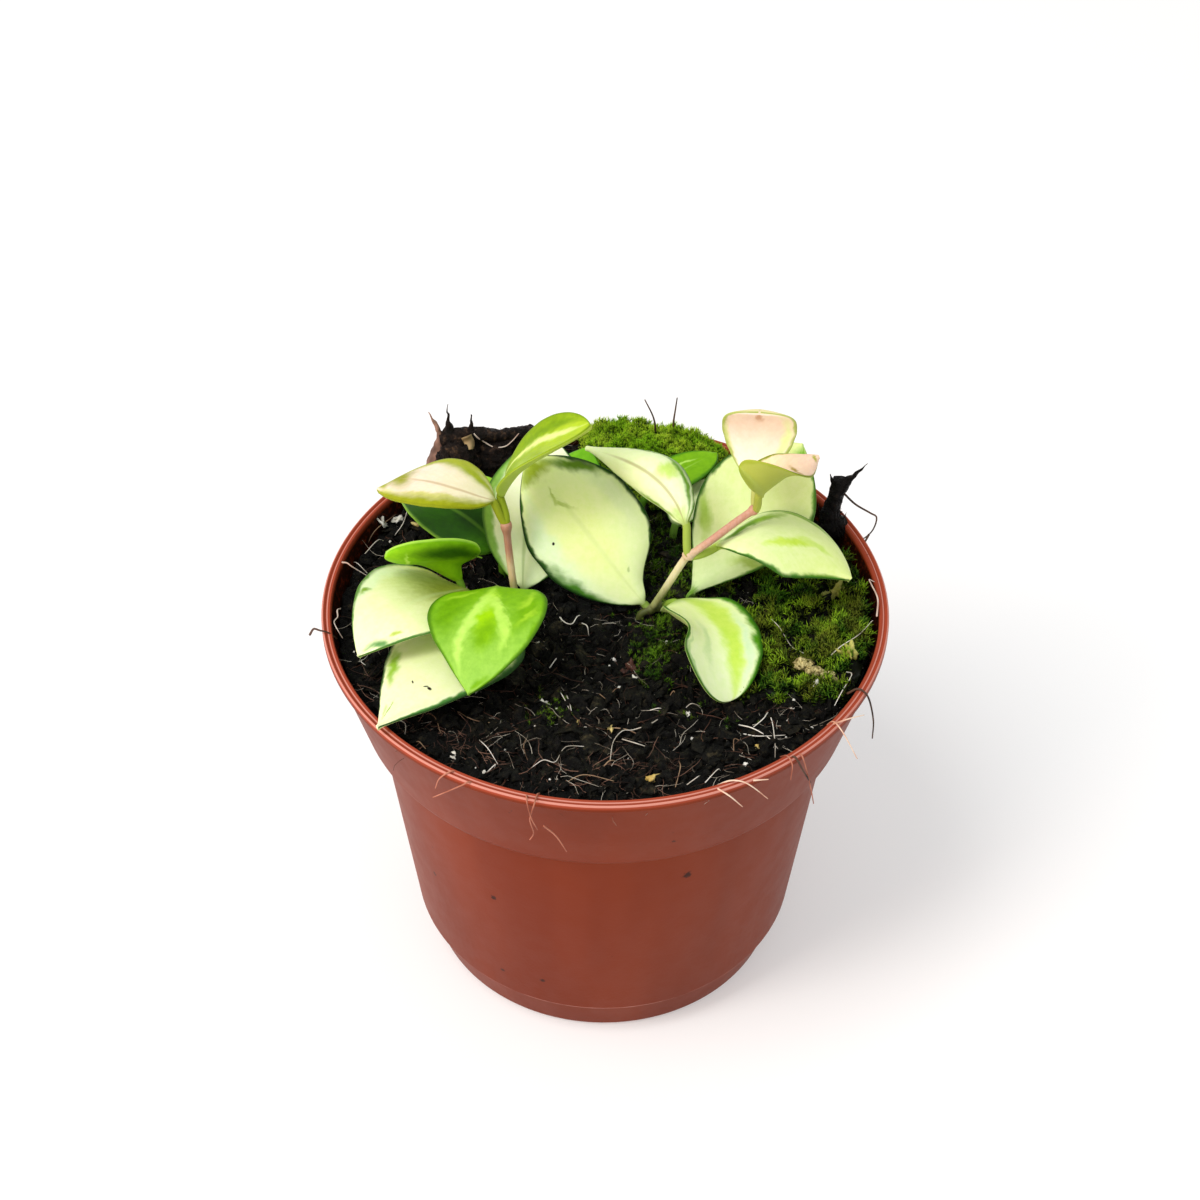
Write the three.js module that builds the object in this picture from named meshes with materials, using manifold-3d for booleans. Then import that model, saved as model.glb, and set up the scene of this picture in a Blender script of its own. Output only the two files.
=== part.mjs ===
// Variegated hoya with two short shoots, growing in a 12 cm nursery pot.
// Millimetres, +Z up. The origin is the centre of the pot's foot, on the surface it stands on,
// -Y is the front and +X is the right.
import * as THREE from 'three';
import { mergeVertices } from 'three/addons/utils/BufferGeometryUtils.js';
import Module from 'manifold-3d';

// Driving dimensions
const clearance = 0.3;            // gap that touching pieces keep
const rimRadius = 60;
const potHeight = 95;
const collarHeight = 24.5;        // the wider band under the rim
const collarFootRadius = 53.6;
const bodyTopRadius = 50.1;
const bodyFootRadius = 43.8;
const footHeight = 10.7;
const footRadius = 39.2;
const lipWidth = 2.3;
const lipHeight = 2;              // the lip stands out by lipStep over this height
const lipStep = 0.8;
const lipRound = 0.5;
const edgeRound = 1.2;            // the soft moulded edges of the collar and the foot
const wall = 1.3;
const floorTop = 3;
const footRecess = 1.4;           // the floor stands this far above the foot ring
const footRingWidth = 3.2;
const drainHoles = { count: 8, radius: 3.4, ringRadius: 25 };
const potSegments = 48;

const soilLevel = 90;
const soilFrontRise = 1.8;        // the soil climbs to the lip at the front
const soilRearRise = 2.2;
const soilDip = 0.8;
const soilRings = 13;
const clodHeight = 0.55;
const soilGap = 1.5 * clearance;  // between the soil and the pot's wall

const stemRadius = 0.9;
const petioleRadius = 0.85;
const leafThickness = 1.6;        // a succulent blade, thickest along the midrib
const leafEdge = 0.7;
const bladeSteps = 6;             // facets across a blade
const bladeRings = 9;
const stalkRings = 3;
const twistPivot = 0.3;           // the place along a blade that its twist leaves alone

const colors = {
  terracotta: 0xa4533d, peat: 0x1d1712, moss: 0x4e7a17, bark: 0x2a211b, chip: 0xcdbb82,
  stem: 0xb59a86, leaf: 0xcfe39a,
};

// Each leaf: seat is where its stalk starts, heading is the way the stalk leaves it, base and tip
// are the ends of the blade. roll turns the blade about its length, arch is how far the midrib
// stands off the straight line near the base and near the tip, sway the same sideways, cup is half
// of the arc that the blade bends through from edge to edge, at the base and at the tip, twist
// turns the tip against the base, and fullness says how quickly the blade widens at its base and
// narrows at its tip. Degrees.
const leaves = {
  leaf_a1: { seat: [-22.5, 5.7, 111.5], heading: [-0.3, 0.2, 1], base: [-23.5, 6.8, 115.5],
    tip: [-48, 11.6, 114.2], width: 19, roll: 6, arch: [7, 2.8], sway: [0, 0.4], cup: [-4, -4],
    twist: 6, fullness: [0.63, 0.83] },
  leaf_a2: { seat: [-19.9, 6.9, 111.6], heading: [-0.1, 0.1, 1], base: [-22, 8.4, 115.8],
    tip: [-3.2, 9.8, 133.3], width: 18.8, roll: -18, arch: [4, 2.2], sway: [-0.4, 0], cup: [31, 31],
    twist: 13, fullness: [0.65, 0.65] },
  leaf_a3: { seat: [-16.8, 5.2, 82], heading: [0, 0, 1], base: [-17.4, 5.2, 92.5],
    tip: [-12, 29, 114.8], width: 23.6, roll: -3, arch: [1.7, 1.1], sway: [-0.3, -0.9], cup: [-5, -5],
    twist: 0, fullness: [0.79, 0.73] },
  leaf_a4: { seat: [-22.5, 12.5, 82], heading: [0, 0, 1], base: [-23.3, 14.5, 95.5],
    tip: [-45.5, 31.6, 97.7], width: 25, roll: 3, arch: [3.5, 2.5], sway: [1.6, 0.6], cup: [30, 30],
    twist: 8, fullness: [0.5, 0.82] },
  leaf_a5: { seat: [-29.3, 2.6, 93.9], heading: [0, 0.3, 1], base: [-27.2, 2.6, 104],
    tip: [-45.5, -3.2, 109.4], width: 15, roll: 58, arch: [0.2, -1.4], sway: [-1, -0.3], cup: [20, 20],
    twist: 3, fullness: [0.4, 0.45] },
  leaf_a6: { seat: [-29.9, 0.2, 94.5], heading: [-0.2, 0, 1], base: [-29.4, 0.2, 96],
    tip: [-50.1, -23, 99], width: 26.8, roll: 2, arch: [4.4, 7.5], sway: [0.5, 1.1], cup: [15, 15],
    twist: 1, fullness: [0.59, 0.92] },
  leaf_a7: { seat: [-24.4, -5, 92.8], heading: [0, -0.6, 1], base: [-24.4, -6, 94.3],
    tip: [-44.8, -41.7, 97.5], width: 28, roll: 6, arch: [1.3, 1.7], sway: [0, -1], cup: [-10, -10],
    twist: 4, fullness: [0.45, 1.08] },
  leaf_a8: { seat: [-20.6, -4.1, 92.6], heading: [0, -0.1, 1], base: [-22.5, -8.2, 104.3],
    tip: [-27, -36, 101.2], width: 24.8, roll: 8, arch: [5.2, 5], sway: [-1.2, -2], cup: [12, 12],
    twist: -5, fullness: [0.53, 0.94] },
  leaf_c1: { seat: [8.2, 0.8, 92.6], heading: [-0.4, 0.5, 1], base: [6.4, 1.4, 93.8],
    tip: [-17, 21.8, 114.5], width: 26.6, roll: -28, arch: [2.4, 0.6], sway: [0.2, 1.7], cup: [-17, -17],
    twist: 0, fullness: [0.87, 0.8] },
  leaf_c2: { seat: [-11, 25, 82], heading: [0, 0, 1], base: [-10.5, 26.5, 93],
    tip: [-4.5, 43.5, 100.5], width: 14, roll: 0, arch: [1.5, 1], sway: [0, 0], cup: [-10, -10],
    twist: 0, fullness: [0.6, 0.7] },
  leaf_b1: { seat: [16.3, 0, 109.3], heading: [0, 0.5, 1], base: [16.7, 3.6, 112.4],
    tip: [-4.1, 25.8, 114.6], width: 19.4, roll: -50, arch: [7.2, 5.4], sway: [7.2, 3.8], cup: [-95, -95],
    twist: 34, fullness: [0.67, 0.98] },
  leaf_b3: { seat: [19.1, -1.3, 106.9], heading: [1, 0.4, -0.1], base: [23.4, 2.8, 107],
    tip: [51, -3.3, 103.3], width: 22.9, roll: -6, arch: [8.7, 3.9], sway: [-3.2, -5.7], cup: [-21, -21],
    twist: 7, fullness: [0.82, 0.86] },
  leaf_b5: { seat: [18, 4.6, 82], heading: [0, 0, 1], base: [18.2, 4.8, 91],
    tip: [42.4, 28.3, 114.2], width: 26.9, roll: 8, arch: [1, 1.2], sway: [0.2, -1.4], cup: [-12, -12],
    twist: 1, fullness: [1.32, 0.88] },
  leaf_b6: { seat: [30.6, 6.8, 116.3], heading: [0, 0.5, 1], base: [31.2, 9.6, 117.5],
    tip: [31.6, 16.8, 132.4], width: 15.6, roll: -6, arch: [-3, -5], sway: [0, 0], cup: [7, 7],
    twist: 0, fullness: [0.8, 0.32] },
  leaf_b7: { seat: [32.1, 3.3, 117.2], heading: [0, -0.4, 1], base: [31.4, 2.2, 121.6],
    tip: [43.4, 6.8, 127.7], width: 19, roll: -47, arch: [1.3, 1.4], sway: [0.8, 1.5],
    cup: [135, -60], twist: 80, fullness: [0.25, 0.85] },
  leaf_b8: { seat: [8, 31, 82], heading: [0, 0, 1], base: [8.6, 32, 95.5],
    tip: [25, 43, 99.6], width: 11, roll: 0, arch: [2, 1], sway: [0, 0], cup: [15, 15],
    twist: 0, fullness: [0.6, 0.7] },
  leaf_b9: { seat: [15, 25, 82], heading: [0, 0, 1], base: [15.4, 26, 93],
    tip: [22, 38.6, 95.4], width: 9, roll: 0, arch: [1, 1], sway: [0, 0], cup: [10, 10],
    twist: 0, fullness: [0.6, 0.7] },
  leaf_d1: { seat: [13.8, -0.6, 92.9], heading: [0.2, -0.2, 1], base: [13.8, -1.8, 95.6],
    tip: [24.5, -28.7, 92.6], width: 23.2, roll: -27, arch: [8.6, 4.9], sway: [-1.2, 2.7], cup: [34, 34],
    twist: 4, fullness: [0.64, 0.52] },
};

// Stems as points on their centre line, with the knuckles that leaves grow from
const stems = {
  stem_left: {
    runs: [
      [[-18.7, 1.2, 82], [-18.8, 1.3, 89.5], [-19.6, 3, 96], [-20.4, 4.5, 104], [-20.9, 5.4, 110.4]],
      [[-18.7, 1.2, 91.5], [-20, -2, 91.8], [-23.5, -3, 92.1], [-27.5, -1.5, 92.7],
        [-30, 0.6, 93.2]],
    ],
    knuckles: [[-20.9, 5.4, 110.2], [-23.9, -3, 92.3]],
  },
  stem_right: {
    runs: [
      [[7.2, -1.3, 82], [7.3, -1.3, 90.4], [9.4, -0.8, 92.2], [12.4, 0.4, 92],
        [14.3, 2, 90.2], [14.5, 2.2, 82]],
      [[9.6, -0.7, 92.2], [12.5, -0.8, 98], [15.6, -1, 105], [17.1, -1.1, 107.8]],
      [[17.1, -1.1, 107.8], [21.5, 0.4, 110.4], [27, 3, 113.6], [31, 4.9, 115.2]],
    ],
    knuckles: [[17.1, -1.1, 107.8], [31, 4.9, 115.2]],
  },
};
const knuckleRadius = 1.25;
const tubeStep = 3;

// Peat and bark lumps that stand above the rim, each an ellipsoid with a centre and half sizes
const lumps = {
  bark_left: {
    color: colors.bark,
    bodies: [
      { at: [-34.5, 42.5, 96], size: [7, 5.5, 9], seed: 3 },
      { at: [-27, 47, 95], size: [7.5, 5.5, 6.5], seed: 7 },
      { at: [-19, 50.5, 94], size: [7.5, 4.6, 6.2], seed: 11 },
    ],
    spikes: [
      { from: [-37.5, 44, 98], to: [-39.6, 44.5, 110.4] },
      { from: [-34.5, 44, 99], to: [-35.4, 44.5, 111] },
      { from: [-30, 45, 97], to: [-30.2, 45.5, 108] },
    ],
  },
  bark_right: {
    color: colors.bark,
    bodies: [
      { at: [51.8, 27, 96], size: [2.6, 2.6, 9.5], seed: 5 },
      { at: [50, 26, 95.2], size: [4, 4, 4.2], seed: 9 },
    ],
    spikes: [{ from: [53, 26.8, 101], to: [56.4, 26.5, 109.6] }],
  },
  pale_chip: {
    color: colors.chip,
    bodies: [
      { at: [41.6, -16, 93], size: [3.4, 2.4, 2], seed: 4 },
      { at: [45.6, -19.2, 92.8], size: [3.2, 2.4, 2], seed: 6 },
    ],
    spikes: [],
  },
};
const spikeRadius = 1.5;
const spikeTipRadius = 0.3;
const lumpRoughness = 0.11;

// Moss, as the part of the soil's surface that it covers and how high it stands
const mossMound = {
  covers: (x, y) => y > 34 && x > -5 && x < 32,
  height: (x, y) => 1 + 5 * bell((x - 12) / 16) * smooth((y - 33) / 18),
};
const mossCarpet = {
  covers: (x, y) => x > 22.5 && Math.hypot(x, y) > 24 && Math.abs(y + 4) < 23,
  height: (x, y) => 1.1 + 0.9 * smooth((x - 26) / 16),
};

const wasm = await Module();
wasm.setup();

const vec = (point) => new THREE.Vector3(...point);
const radians = THREE.MathUtils.degToRad;
function smooth(t) {
  const s = THREE.MathUtils.clamp(t, 0, 1);
  return s * s * (3 - 2 * s);
}
function bell(t) {
  return Math.exp(-t * t);
}

// A closed geometry from rings of points, each ring joined to the next and both ends capped.
// The lower half of a leaf's ring is split along the same diagonals as the upper half.
function loft(rings, mirrorFrom = Infinity) {
  const count = rings[0].length;
  const index = [];
  for (let i = 0; i + 1 < rings.length; i++) {
    for (let j = 0; j < count; j++) {
      const a = i * count + j;
      const b = i * count + (j + 1) % count;
      const c = a + count;
      const d = b + count;
      if (j >= mirrorFrom) index.push(a, b, c, b, d, c);
      else index.push(a, b, d, a, d, c);
    }
  }
  const last = (rings.length - 1) * count;
  for (let j = 1; j + 1 < count; j++) {
    index.push(0, j + 1, j);
    index.push(last, last + j, last + j + 1);
  }
  const positions = rings.flat().flatMap((p) => [p.x, p.y, p.z]);
  return geometryFrom(positions, index);
}

function geometryFrom(positions, index) {
  const geometry = new THREE.BufferGeometry();
  geometry.setAttribute('position', new THREE.Float32BufferAttribute(positions, 3));
  geometry.setIndex(index);
  return geometry;
}

// Boolean work
function solidOf(geometry) {
  const bare = geometry.clone();
  bare.deleteAttribute('normal');
  bare.deleteAttribute('uv');
  const merged = mergeVertices(bare, 1e-4);
  return new wasm.Manifold(new wasm.Mesh({
    numProp: 3,
    vertProperties: Float32Array.from(merged.attributes.position.array),
    triVerts: Uint32Array.from(merged.index.array),
  }));
}

function geometryOf(solid) {
  const mesh = solid.getMesh();
  return geometryFrom(Array.from(mesh.vertProperties), Array.from(mesh.triVerts));
}

function joined(geometries) {
  return geometries.map(solidOf).reduce((whole, next) => whole.add(next));
}

// The pot's wall: the radius of its outside at the heights where the inside turns
const collarFoot = potHeight - collarHeight;
const collarSlope = (rimRadius - lipStep - collarFootRadius) / (collarHeight - lipHeight);
const turns = [
  [collarFootRadius, collarFoot + edgeRound],
  [bodyTopRadius, collarFoot - 2 * edgeRound],
  [bodyFootRadius, footHeight],
];
function innerRadius(z) {
  return collarFootRadius - wall + collarSlope * (z - collarFoot);
}

function potGeometry(grow) {
  const profile = [
    [0, footRecess - grow],
    [footRadius - footRingWidth - grow, footRecess - grow],
    [footRadius - footRingWidth - grow, -grow],
    [footRadius - edgeRound / 2 + grow, -grow],
    [footRadius + edgeRound + grow, edgeRound],
    [bodyFootRadius - edgeRound + grow, footHeight - edgeRound],
    [bodyFootRadius + grow, footHeight],
    [bodyTopRadius + grow, collarFoot - 2 * edgeRound],
    [bodyTopRadius + edgeRound + grow, collarFoot - edgeRound / 2],
    [collarFootRadius - edgeRound / 2 + grow, collarFoot],
    [collarFootRadius + grow, collarFoot + edgeRound],
    [rimRadius - lipStep + grow, potHeight - lipHeight],
    [rimRadius + grow, potHeight - lipHeight + lipRound],
    [rimRadius + grow, potHeight - lipRound],
    [rimRadius - lipRound + grow, potHeight + grow],
    [rimRadius - lipWidth - grow, potHeight + grow],
    [innerRadius(potHeight - lipHeight) - grow, potHeight - lipHeight],
    ...turns.map(([radius, z]) => [radius - wall - grow, z]),
    [footRadius - wall - grow, floorTop + grow],
    [0, floorTop + grow],
  ];
  const outline = profile.map(([radius, z]) => new THREE.Vector2(radius, z));
  const geometry = new THREE.LatheGeometry(outline, potSegments);
  geometry.rotateX(Math.PI / 2);
  return geometry;
}

function pot() {
  let solid = solidOf(potGeometry(0));
  for (let i = 0; i < drainHoles.count; i++) {
    const angle = (i + 0.5) * 2 * Math.PI / drainHoles.count;
    const hole = new THREE.CylinderGeometry(drainHoles.radius, drainHoles.radius, 4 * floorTop, 12);
    hole.rotateX(Math.PI / 2);
    hole.translate(drainHoles.ringRadius * Math.cos(angle), drainHoles.ringRadius * Math.sin(angle), 0);
    solid = solid.subtract(solidOf(hole));
  }
  return geometryOf(solid);
}

// Soil: a grid of rings, six more points on each, that moss shares. Its top climbs to the rim at
// the front and the back, dips between the shoots, and has clods every 4 to 9 mm.
function soilTop(x, y) {
  const front = soilFrontRise * smooth((-y - 28) / 26);
  const rear = soilRearRise * smooth((y - 30) / 22);
  const dip = soilDip * bell((x - 2) / 9) * bell((y - 14) / 10);
  const clods = Math.sin(0.83 * x + 1.3) * Math.cos(0.71 * y) + 0.6 * Math.sin(1.31 * x - 0.97 * y)
    + 0.5 * Math.cos(1.9 * y + 0.6 * x);
  return soilLevel + front + rear - dip + clodHeight * clods;
}

function gridPoint(ring, step) {
  const angle = ring === 0 ? 0 : 2 * Math.PI * step / (6 * ring);
  const reach = ring / soilRings * (innerRadius(soilLevel) - 2 * clearance);
  const x = reach * Math.cos(angle);
  const y = reach * Math.sin(angle);
  if (ring < soilRings) return [x, y];
  const atWall = innerRadius(soilTop(x, y)) - 2 * clearance;
  return [atWall * Math.cos(angle), atWall * Math.sin(angle)];
}

function gridTriangles() {
  const start = (ring) => (ring === 0 ? 0 : 1 + 3 * ring * (ring - 1));
  const at = (ring, step) => start(ring) + (ring === 0 ? 0 : step % (6 * ring));
  const triangles = [];
  for (let ring = 0; ring < soilRings; ring++) {
    for (let side = 0; side < 6; side++) {
      for (let i = 0; i <= ring; i++) {
        const inner = ring * side + i;
        const outer = (ring + 1) * side + i;
        triangles.push([at(ring, inner), at(ring + 1, outer), at(ring + 1, outer + 1)]);
        if (i < ring) triangles.push([at(ring, inner), at(ring + 1, outer + 1), at(ring, inner + 1)]);
      }
    }
  }
  return triangles;
}

const grid = [];
for (let ring = 0; ring <= soilRings; ring++) {
  for (let step = 0; step < Math.max(1, 6 * ring); step++) grid.push(gridPoint(ring, step));
}
const gridFaces = gridTriangles();

function soilGeometry(grow) {
  const rimSteps = 6 * soilRings;
  const rimStart = grid.length - rimSteps;
  const positions = grid.flatMap(([x, y], i) => {
    const spread = i < rimStart ? 1 : 1 + grow / Math.hypot(x, y);
    return [x * spread, y * spread, soilTop(x, y) + grow];
  });
  const index = gridFaces.flat();
  let upper = rimStart;
  for (const [radius, z] of [...turns, [footRadius, floorTop + clearance]]) {
    const lower = positions.length / 3;
    const reach = radius - wall - soilGap + grow;
    for (let step = 0; step < rimSteps; step++) {
      const angle = 2 * Math.PI * step / rimSteps;
      positions.push(reach * Math.cos(angle), reach * Math.sin(angle), z);
    }
    for (let step = 0; step < rimSteps; step++) {
      const next = (step + 1) % rimSteps;
      index.push(upper + step, lower + step, lower + next, upper + step, lower + next, upper + next);
    }
    upper = lower;
  }
  for (let step = 1; step + 1 < rimSteps; step++) index.push(upper, upper + step + 1, upper + step);
  return geometryFrom(positions, index);
}

// The hole that a stem or a stalk stands in follows its curve, two clearances wider all round
function hole(curve, radius) {
  const points = curve.getPoints(6);
  const below = points[0].clone().addScaledVector(curve.getTangent(0), -2 * clearance);
  return solidOf(tube(new THREE.CatmullRomCurve3([below, ...points]), radius + 2 * clearance, 8));
}

function soil() {
  const isBuried = ([, , z]) => z < soilLevel - 1;
  let solid = solidOf(soilGeometry(0));
  for (const spec of Object.values(leaves)) {
    if (isBuried(spec.seat)) solid = solid.subtract(hole(stalkOf(spec), petioleRadius));
  }
  for (const { runs: [rooted] } of Object.values(stems)) {
    solid = solid.subtract(hole(pathOf(rooted), stemRadius));
    const fromFarEnd = [...rooted].reverse();
    if (isBuried(fromFarEnd[0])) solid = solid.subtract(hole(pathOf(fromFarEnd), stemRadius));
  }
  return geometryOf(solid);
}

// Moss: the faces of the soil's grid that it covers, raised, with a skirt round their edge
function mossGeometry(moss, floorLift) {
  const faces = gridFaces.filter((face) => {
    const x = (grid[face[0]][0] + grid[face[1]][0] + grid[face[2]][0]) / 3;
    const y = (grid[face[0]][1] + grid[face[1]][1] + grid[face[2]][1]) / 3;
    return moss.covers(x, y);
  });
  const used = [...new Set(faces.flat())];
  const order = new Map(used.map((vertex, i) => [vertex, i]));
  const positions = [];
  for (const vertex of used) {
    const [x, y] = grid[vertex];
    positions.push(x, y, soilTop(x, y) + floorLift + moss.height(x, y));
  }
  for (const vertex of used) {
    const [x, y] = grid[vertex];
    positions.push(x, y, soilTop(x, y) + floorLift);
  }
  const index = [];
  const edges = new Map();
  for (const face of faces) {
    const [a, b, c] = face.map((vertex) => order.get(vertex));
    index.push(a, b, c, a + used.length, c + used.length, b + used.length);
    for (const [from, to] of [[a, b], [b, c], [c, a]]) {
      if (edges.has(`${to}-${from}`)) edges.delete(`${to}-${from}`);
      else edges.set(`${from}-${to}`, [from, to]);
    }
  }
  for (const [from, to] of edges.values()) {
    index.push(to, from, from + used.length, to, from + used.length, to + used.length);
  }
  return geometryFrom(positions, index);
}

// Peat and bark: rough ellipsoids and spikes fused together and cut clear of soil, moss and pot
function roughBall({ at, size, seed }) {
  const ball = new THREE.IcosahedronGeometry(1, 2);
  const corners = ball.attributes.position;
  for (let i = 0; i < corners.count; i++) {
    const p = new THREE.Vector3().fromBufferAttribute(corners, i);
    const bumps = Math.sin(5.3 * p.x + seed) + Math.sin(6.1 * p.y - 2 * seed)
      + Math.sin(5.7 * p.z + 3 * seed);
    p.multiplyScalar(1 + lumpRoughness * bumps).multiply(vec(size)).add(vec(at));
    corners.setXYZ(i, p.x, p.y, p.z);
  }
  return ball;
}

function spike({ from, to }) {
  const start = vec(from);
  const along = vec(to).sub(start);
  const cone = new THREE.CylinderGeometry(spikeTipRadius, spikeRadius, along.length(), 6);
  cone.translate(0, along.length() / 2, 0);
  const upright = new THREE.Vector3(0, 1, 0);
  cone.applyQuaternion(new THREE.Quaternion().setFromUnitVectors(upright, along.normalize()));
  cone.translate(start.x, start.y, start.z);
  return cone;
}

function lump({ bodies, spikes }) {
  let solid = joined([...bodies.map(roughBall), ...spikes.map(spike)]);
  solid = solid.subtract(solidOf(potGeometry(soilGap)));
  solid = solid.subtract(solidOf(soilGeometry(clearance)));
  for (const moss of [mossMound, mossCarpet]) {
    const raised = { covers: moss.covers, height: (x, y) => moss.height(x, y) + 2 * clearance };
    solid = solid.subtract(solidOf(mossGeometry(raised, 0)));
  }
  const parts = solid.decompose();
  parts.sort((a, b) => b.volume() - a.volume());
  return geometryOf(parts[0]);
}

// Stems: round tubes along their runs, with a swollen knuckle at each node
const pathOf = (points) => new THREE.CatmullRomCurve3(points.map(vec));

function tube(curve, radius, sides) {
  const steps = Math.max(3, Math.round(curve.getLength() / tubeStep));
  const rings = [];
  let across = new THREE.Vector3(0, 1, 0);
  for (let i = 0; i <= steps; i++) {
    const along = curve.getTangentAt(i / steps);
    across = across.clone().addScaledVector(along, -across.dot(along)).normalize();
    const other = new THREE.Vector3().crossVectors(along, across);
    const centre = curve.getPointAt(i / steps);
    const ring = [];
    for (let j = 0; j < sides; j++) {
      const angle = 2 * Math.PI * j / sides;
      ring.push(centre.clone().addScaledVector(across, radius * Math.cos(angle))
        .addScaledVector(other, radius * Math.sin(angle)));
    }
    rings.push(ring);
  }
  return loft(rings);
}

function stem({ runs, knuckles }) {
  const pieces = runs.map((points) => tube(pathOf(points), stemRadius, 8));
  for (const at of knuckles) {
    const ball = new THREE.IcosahedronGeometry(knuckleRadius, 1);
    ball.translate(...at);
    pieces.push(ball);
  }
  return geometryOf(joined(pieces));
}

// A leaf is its stalk and blade in one skin: rings of points across the stalk, then the blade
function bladeFrame(leaf) {
  const base = vec(leaf.base);
  const along = vec(leaf.tip).sub(base);
  const length = along.length();
  along.normalize();
  const up = new THREE.Vector3(0, 0, 1).addScaledVector(along, -along.z).normalize();
  const side = new THREE.Vector3().crossVectors(along, up);
  const roll = radians(leaf.roll);
  const normal = up.clone().multiplyScalar(Math.cos(roll)).addScaledVector(side, Math.sin(roll));
  return { base, along, length, normal, across: new THREE.Vector3().crossVectors(along, normal) };
}

function widthAt(s, [a, b]) {
  const peak = (a / (a + b)) ** a * (b / (a + b)) ** b;
  return s ** a * (1 - s) ** b / peak;
}

// One ring: a cross-section that bends through an arc, middle thick at its centre and leafEdge
// at its margins
function leafRing(centre, along, across, halfWidth, bend, middle) {
  const side = across.clone().addScaledVector(along, -across.dot(along)).normalize();
  const normal = new THREE.Vector3().crossVectors(side, along);
  const upper = [];
  const lower = [];
  const isFlat = Math.abs(bend) < 1e-3;
  for (let i = 0; i <= bladeSteps; i++) {
    const t = 2 * i / bladeSteps - 1;
    const turn = bend * t;
    const reach = isFlat ? t : Math.sin(turn) / bend;
    const lift = isFlat ? 0 : (1 - Math.cos(turn)) / bend;
    const half = (leafEdge + (middle - leafEdge) * (1 - t * t)) / 2;
    const point = centre.clone().addScaledVector(side, halfWidth * reach)
      .addScaledVector(normal, halfWidth * lift);
    const out = normal.clone().multiplyScalar(Math.cos(turn)).addScaledVector(side, -Math.sin(turn));
    upper.push(point.clone().addScaledVector(out, half));
    lower.unshift(point.clone().addScaledVector(out, -half));
  }
  return [...upper, ...lower];
}

function midribOf(spec) {
  const { base, along, length, normal, across } = bladeFrame(spec);
  const offset = (share, i) => base.clone().addScaledVector(along, share * length)
    .addScaledVector(normal, spec.arch[i]).addScaledVector(across, spec.sway[i]);
  return new THREE.CubicBezierCurve3(base, offset(1 / 3, 0), offset(2 / 3, 1), vec(spec.tip));
}

function stalkOf(spec) {
  const seat = vec(spec.seat);
  const base = vec(spec.base);
  const reach = seat.distanceTo(base) / 3;
  const leaving = seat.clone().addScaledVector(vec(spec.heading).normalize(), reach);
  const arriving = base.clone().addScaledVector(midribOf(spec).getTangent(0), -reach / 2);
  return new THREE.CubicBezierCurve3(seat, leaving, arriving, base);
}

function leaf(spec) {
  const { across } = bladeFrame(spec);
  const midrib = midribOf(spec);
  const stalk = stalkOf(spec);
  const rings = [];
  for (let i = 0; i < stalkRings; i++) {
    const t = i / stalkRings;
    rings.push(leafRing(stalk.getPoint(t), stalk.getTangent(t), across, petioleRadius, 0,
      2 * petioleRadius));
  }
  for (let i = 0; i <= bladeRings; i++) {
    const s = 0.5 - 0.5 * Math.cos(Math.PI * i / bladeRings);
    const along = midrib.getTangent(s);
    const turned = across.clone().applyAxisAngle(along, radians(spec.twist) * (s - twistPivot));
    const least = i === 0 ? petioleRadius : leafEdge / 2;
    const halfWidth = Math.max(spec.width / 2 * widthAt(s, spec.fullness), least);
    const bend = radians(THREE.MathUtils.lerp(...spec.cup, s)) * smooth(i / 2);
    rings.push(leafRing(midrib.getPoint(s), along, turned, halfWidth, bend, leafThickness));
  }
  return loft(rings, bladeSteps + 1);
}

const hoya = new THREE.Group();

function place(name, geometry, color, roughness = 0.6) {
  const material = new THREE.MeshStandardMaterial({ color, roughness, metalness: 0 });
  const mesh = new THREE.Mesh(geometry, material);
  mesh.name = name;
  hoya.add(mesh);
}

place('pot', pot(), colors.terracotta, 0.5);
place('soil', soil(), colors.peat, 0.95);
place('moss_mound', mossGeometry(mossMound, clearance), colors.moss, 0.9);
place('moss_carpet', mossGeometry(mossCarpet, clearance), colors.moss, 0.9);
for (const [name, spec] of Object.entries(lumps)) place(name, lump(spec), spec.color, 0.9);
for (const [name, spec] of Object.entries(stems)) place(name, stem(spec), colors.stem);
for (const [name, spec] of Object.entries(leaves)) place(name, leaf(spec), colors.leaf, 0.4);

export default hoya;
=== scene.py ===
import math
import random

import bmesh
import bpy
from mathutils import Matrix, Quaternion, Vector, noise


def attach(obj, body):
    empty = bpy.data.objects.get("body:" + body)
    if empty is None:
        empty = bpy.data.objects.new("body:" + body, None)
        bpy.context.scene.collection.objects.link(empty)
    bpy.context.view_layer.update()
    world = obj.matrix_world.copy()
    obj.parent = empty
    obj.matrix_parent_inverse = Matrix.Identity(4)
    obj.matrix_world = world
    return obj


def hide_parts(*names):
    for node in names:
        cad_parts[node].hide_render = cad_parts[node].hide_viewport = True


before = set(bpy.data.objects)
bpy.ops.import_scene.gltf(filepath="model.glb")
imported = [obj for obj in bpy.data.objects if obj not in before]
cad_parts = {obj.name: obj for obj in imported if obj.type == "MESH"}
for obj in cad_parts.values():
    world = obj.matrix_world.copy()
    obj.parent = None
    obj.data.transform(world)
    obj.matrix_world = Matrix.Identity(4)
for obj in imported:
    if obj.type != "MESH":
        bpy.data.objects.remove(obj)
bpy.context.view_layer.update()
print("frame loaded")

mm = 0.001
scene = bpy.context.scene


# Small shared helpers

def smooth(t):
    s = min(max(t, 0.0), 1.0)
    return s * s * (3 - 2 * s)


def bell(t):
    return math.exp(-t * t)


def mixed(a, b, share):
    return a + (b - a) * share


def linear(hexCode):
    # sRGB hex to the linear colour that the shaders take
    parts = [int(hexCode[i:i + 2], 16) / 255 for i in (1, 3, 5)]
    return [p / 12.92 if p <= 0.04045 else ((p + 0.055) / 1.055) ** 2.4 for p in parts] + [1.0]


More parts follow.
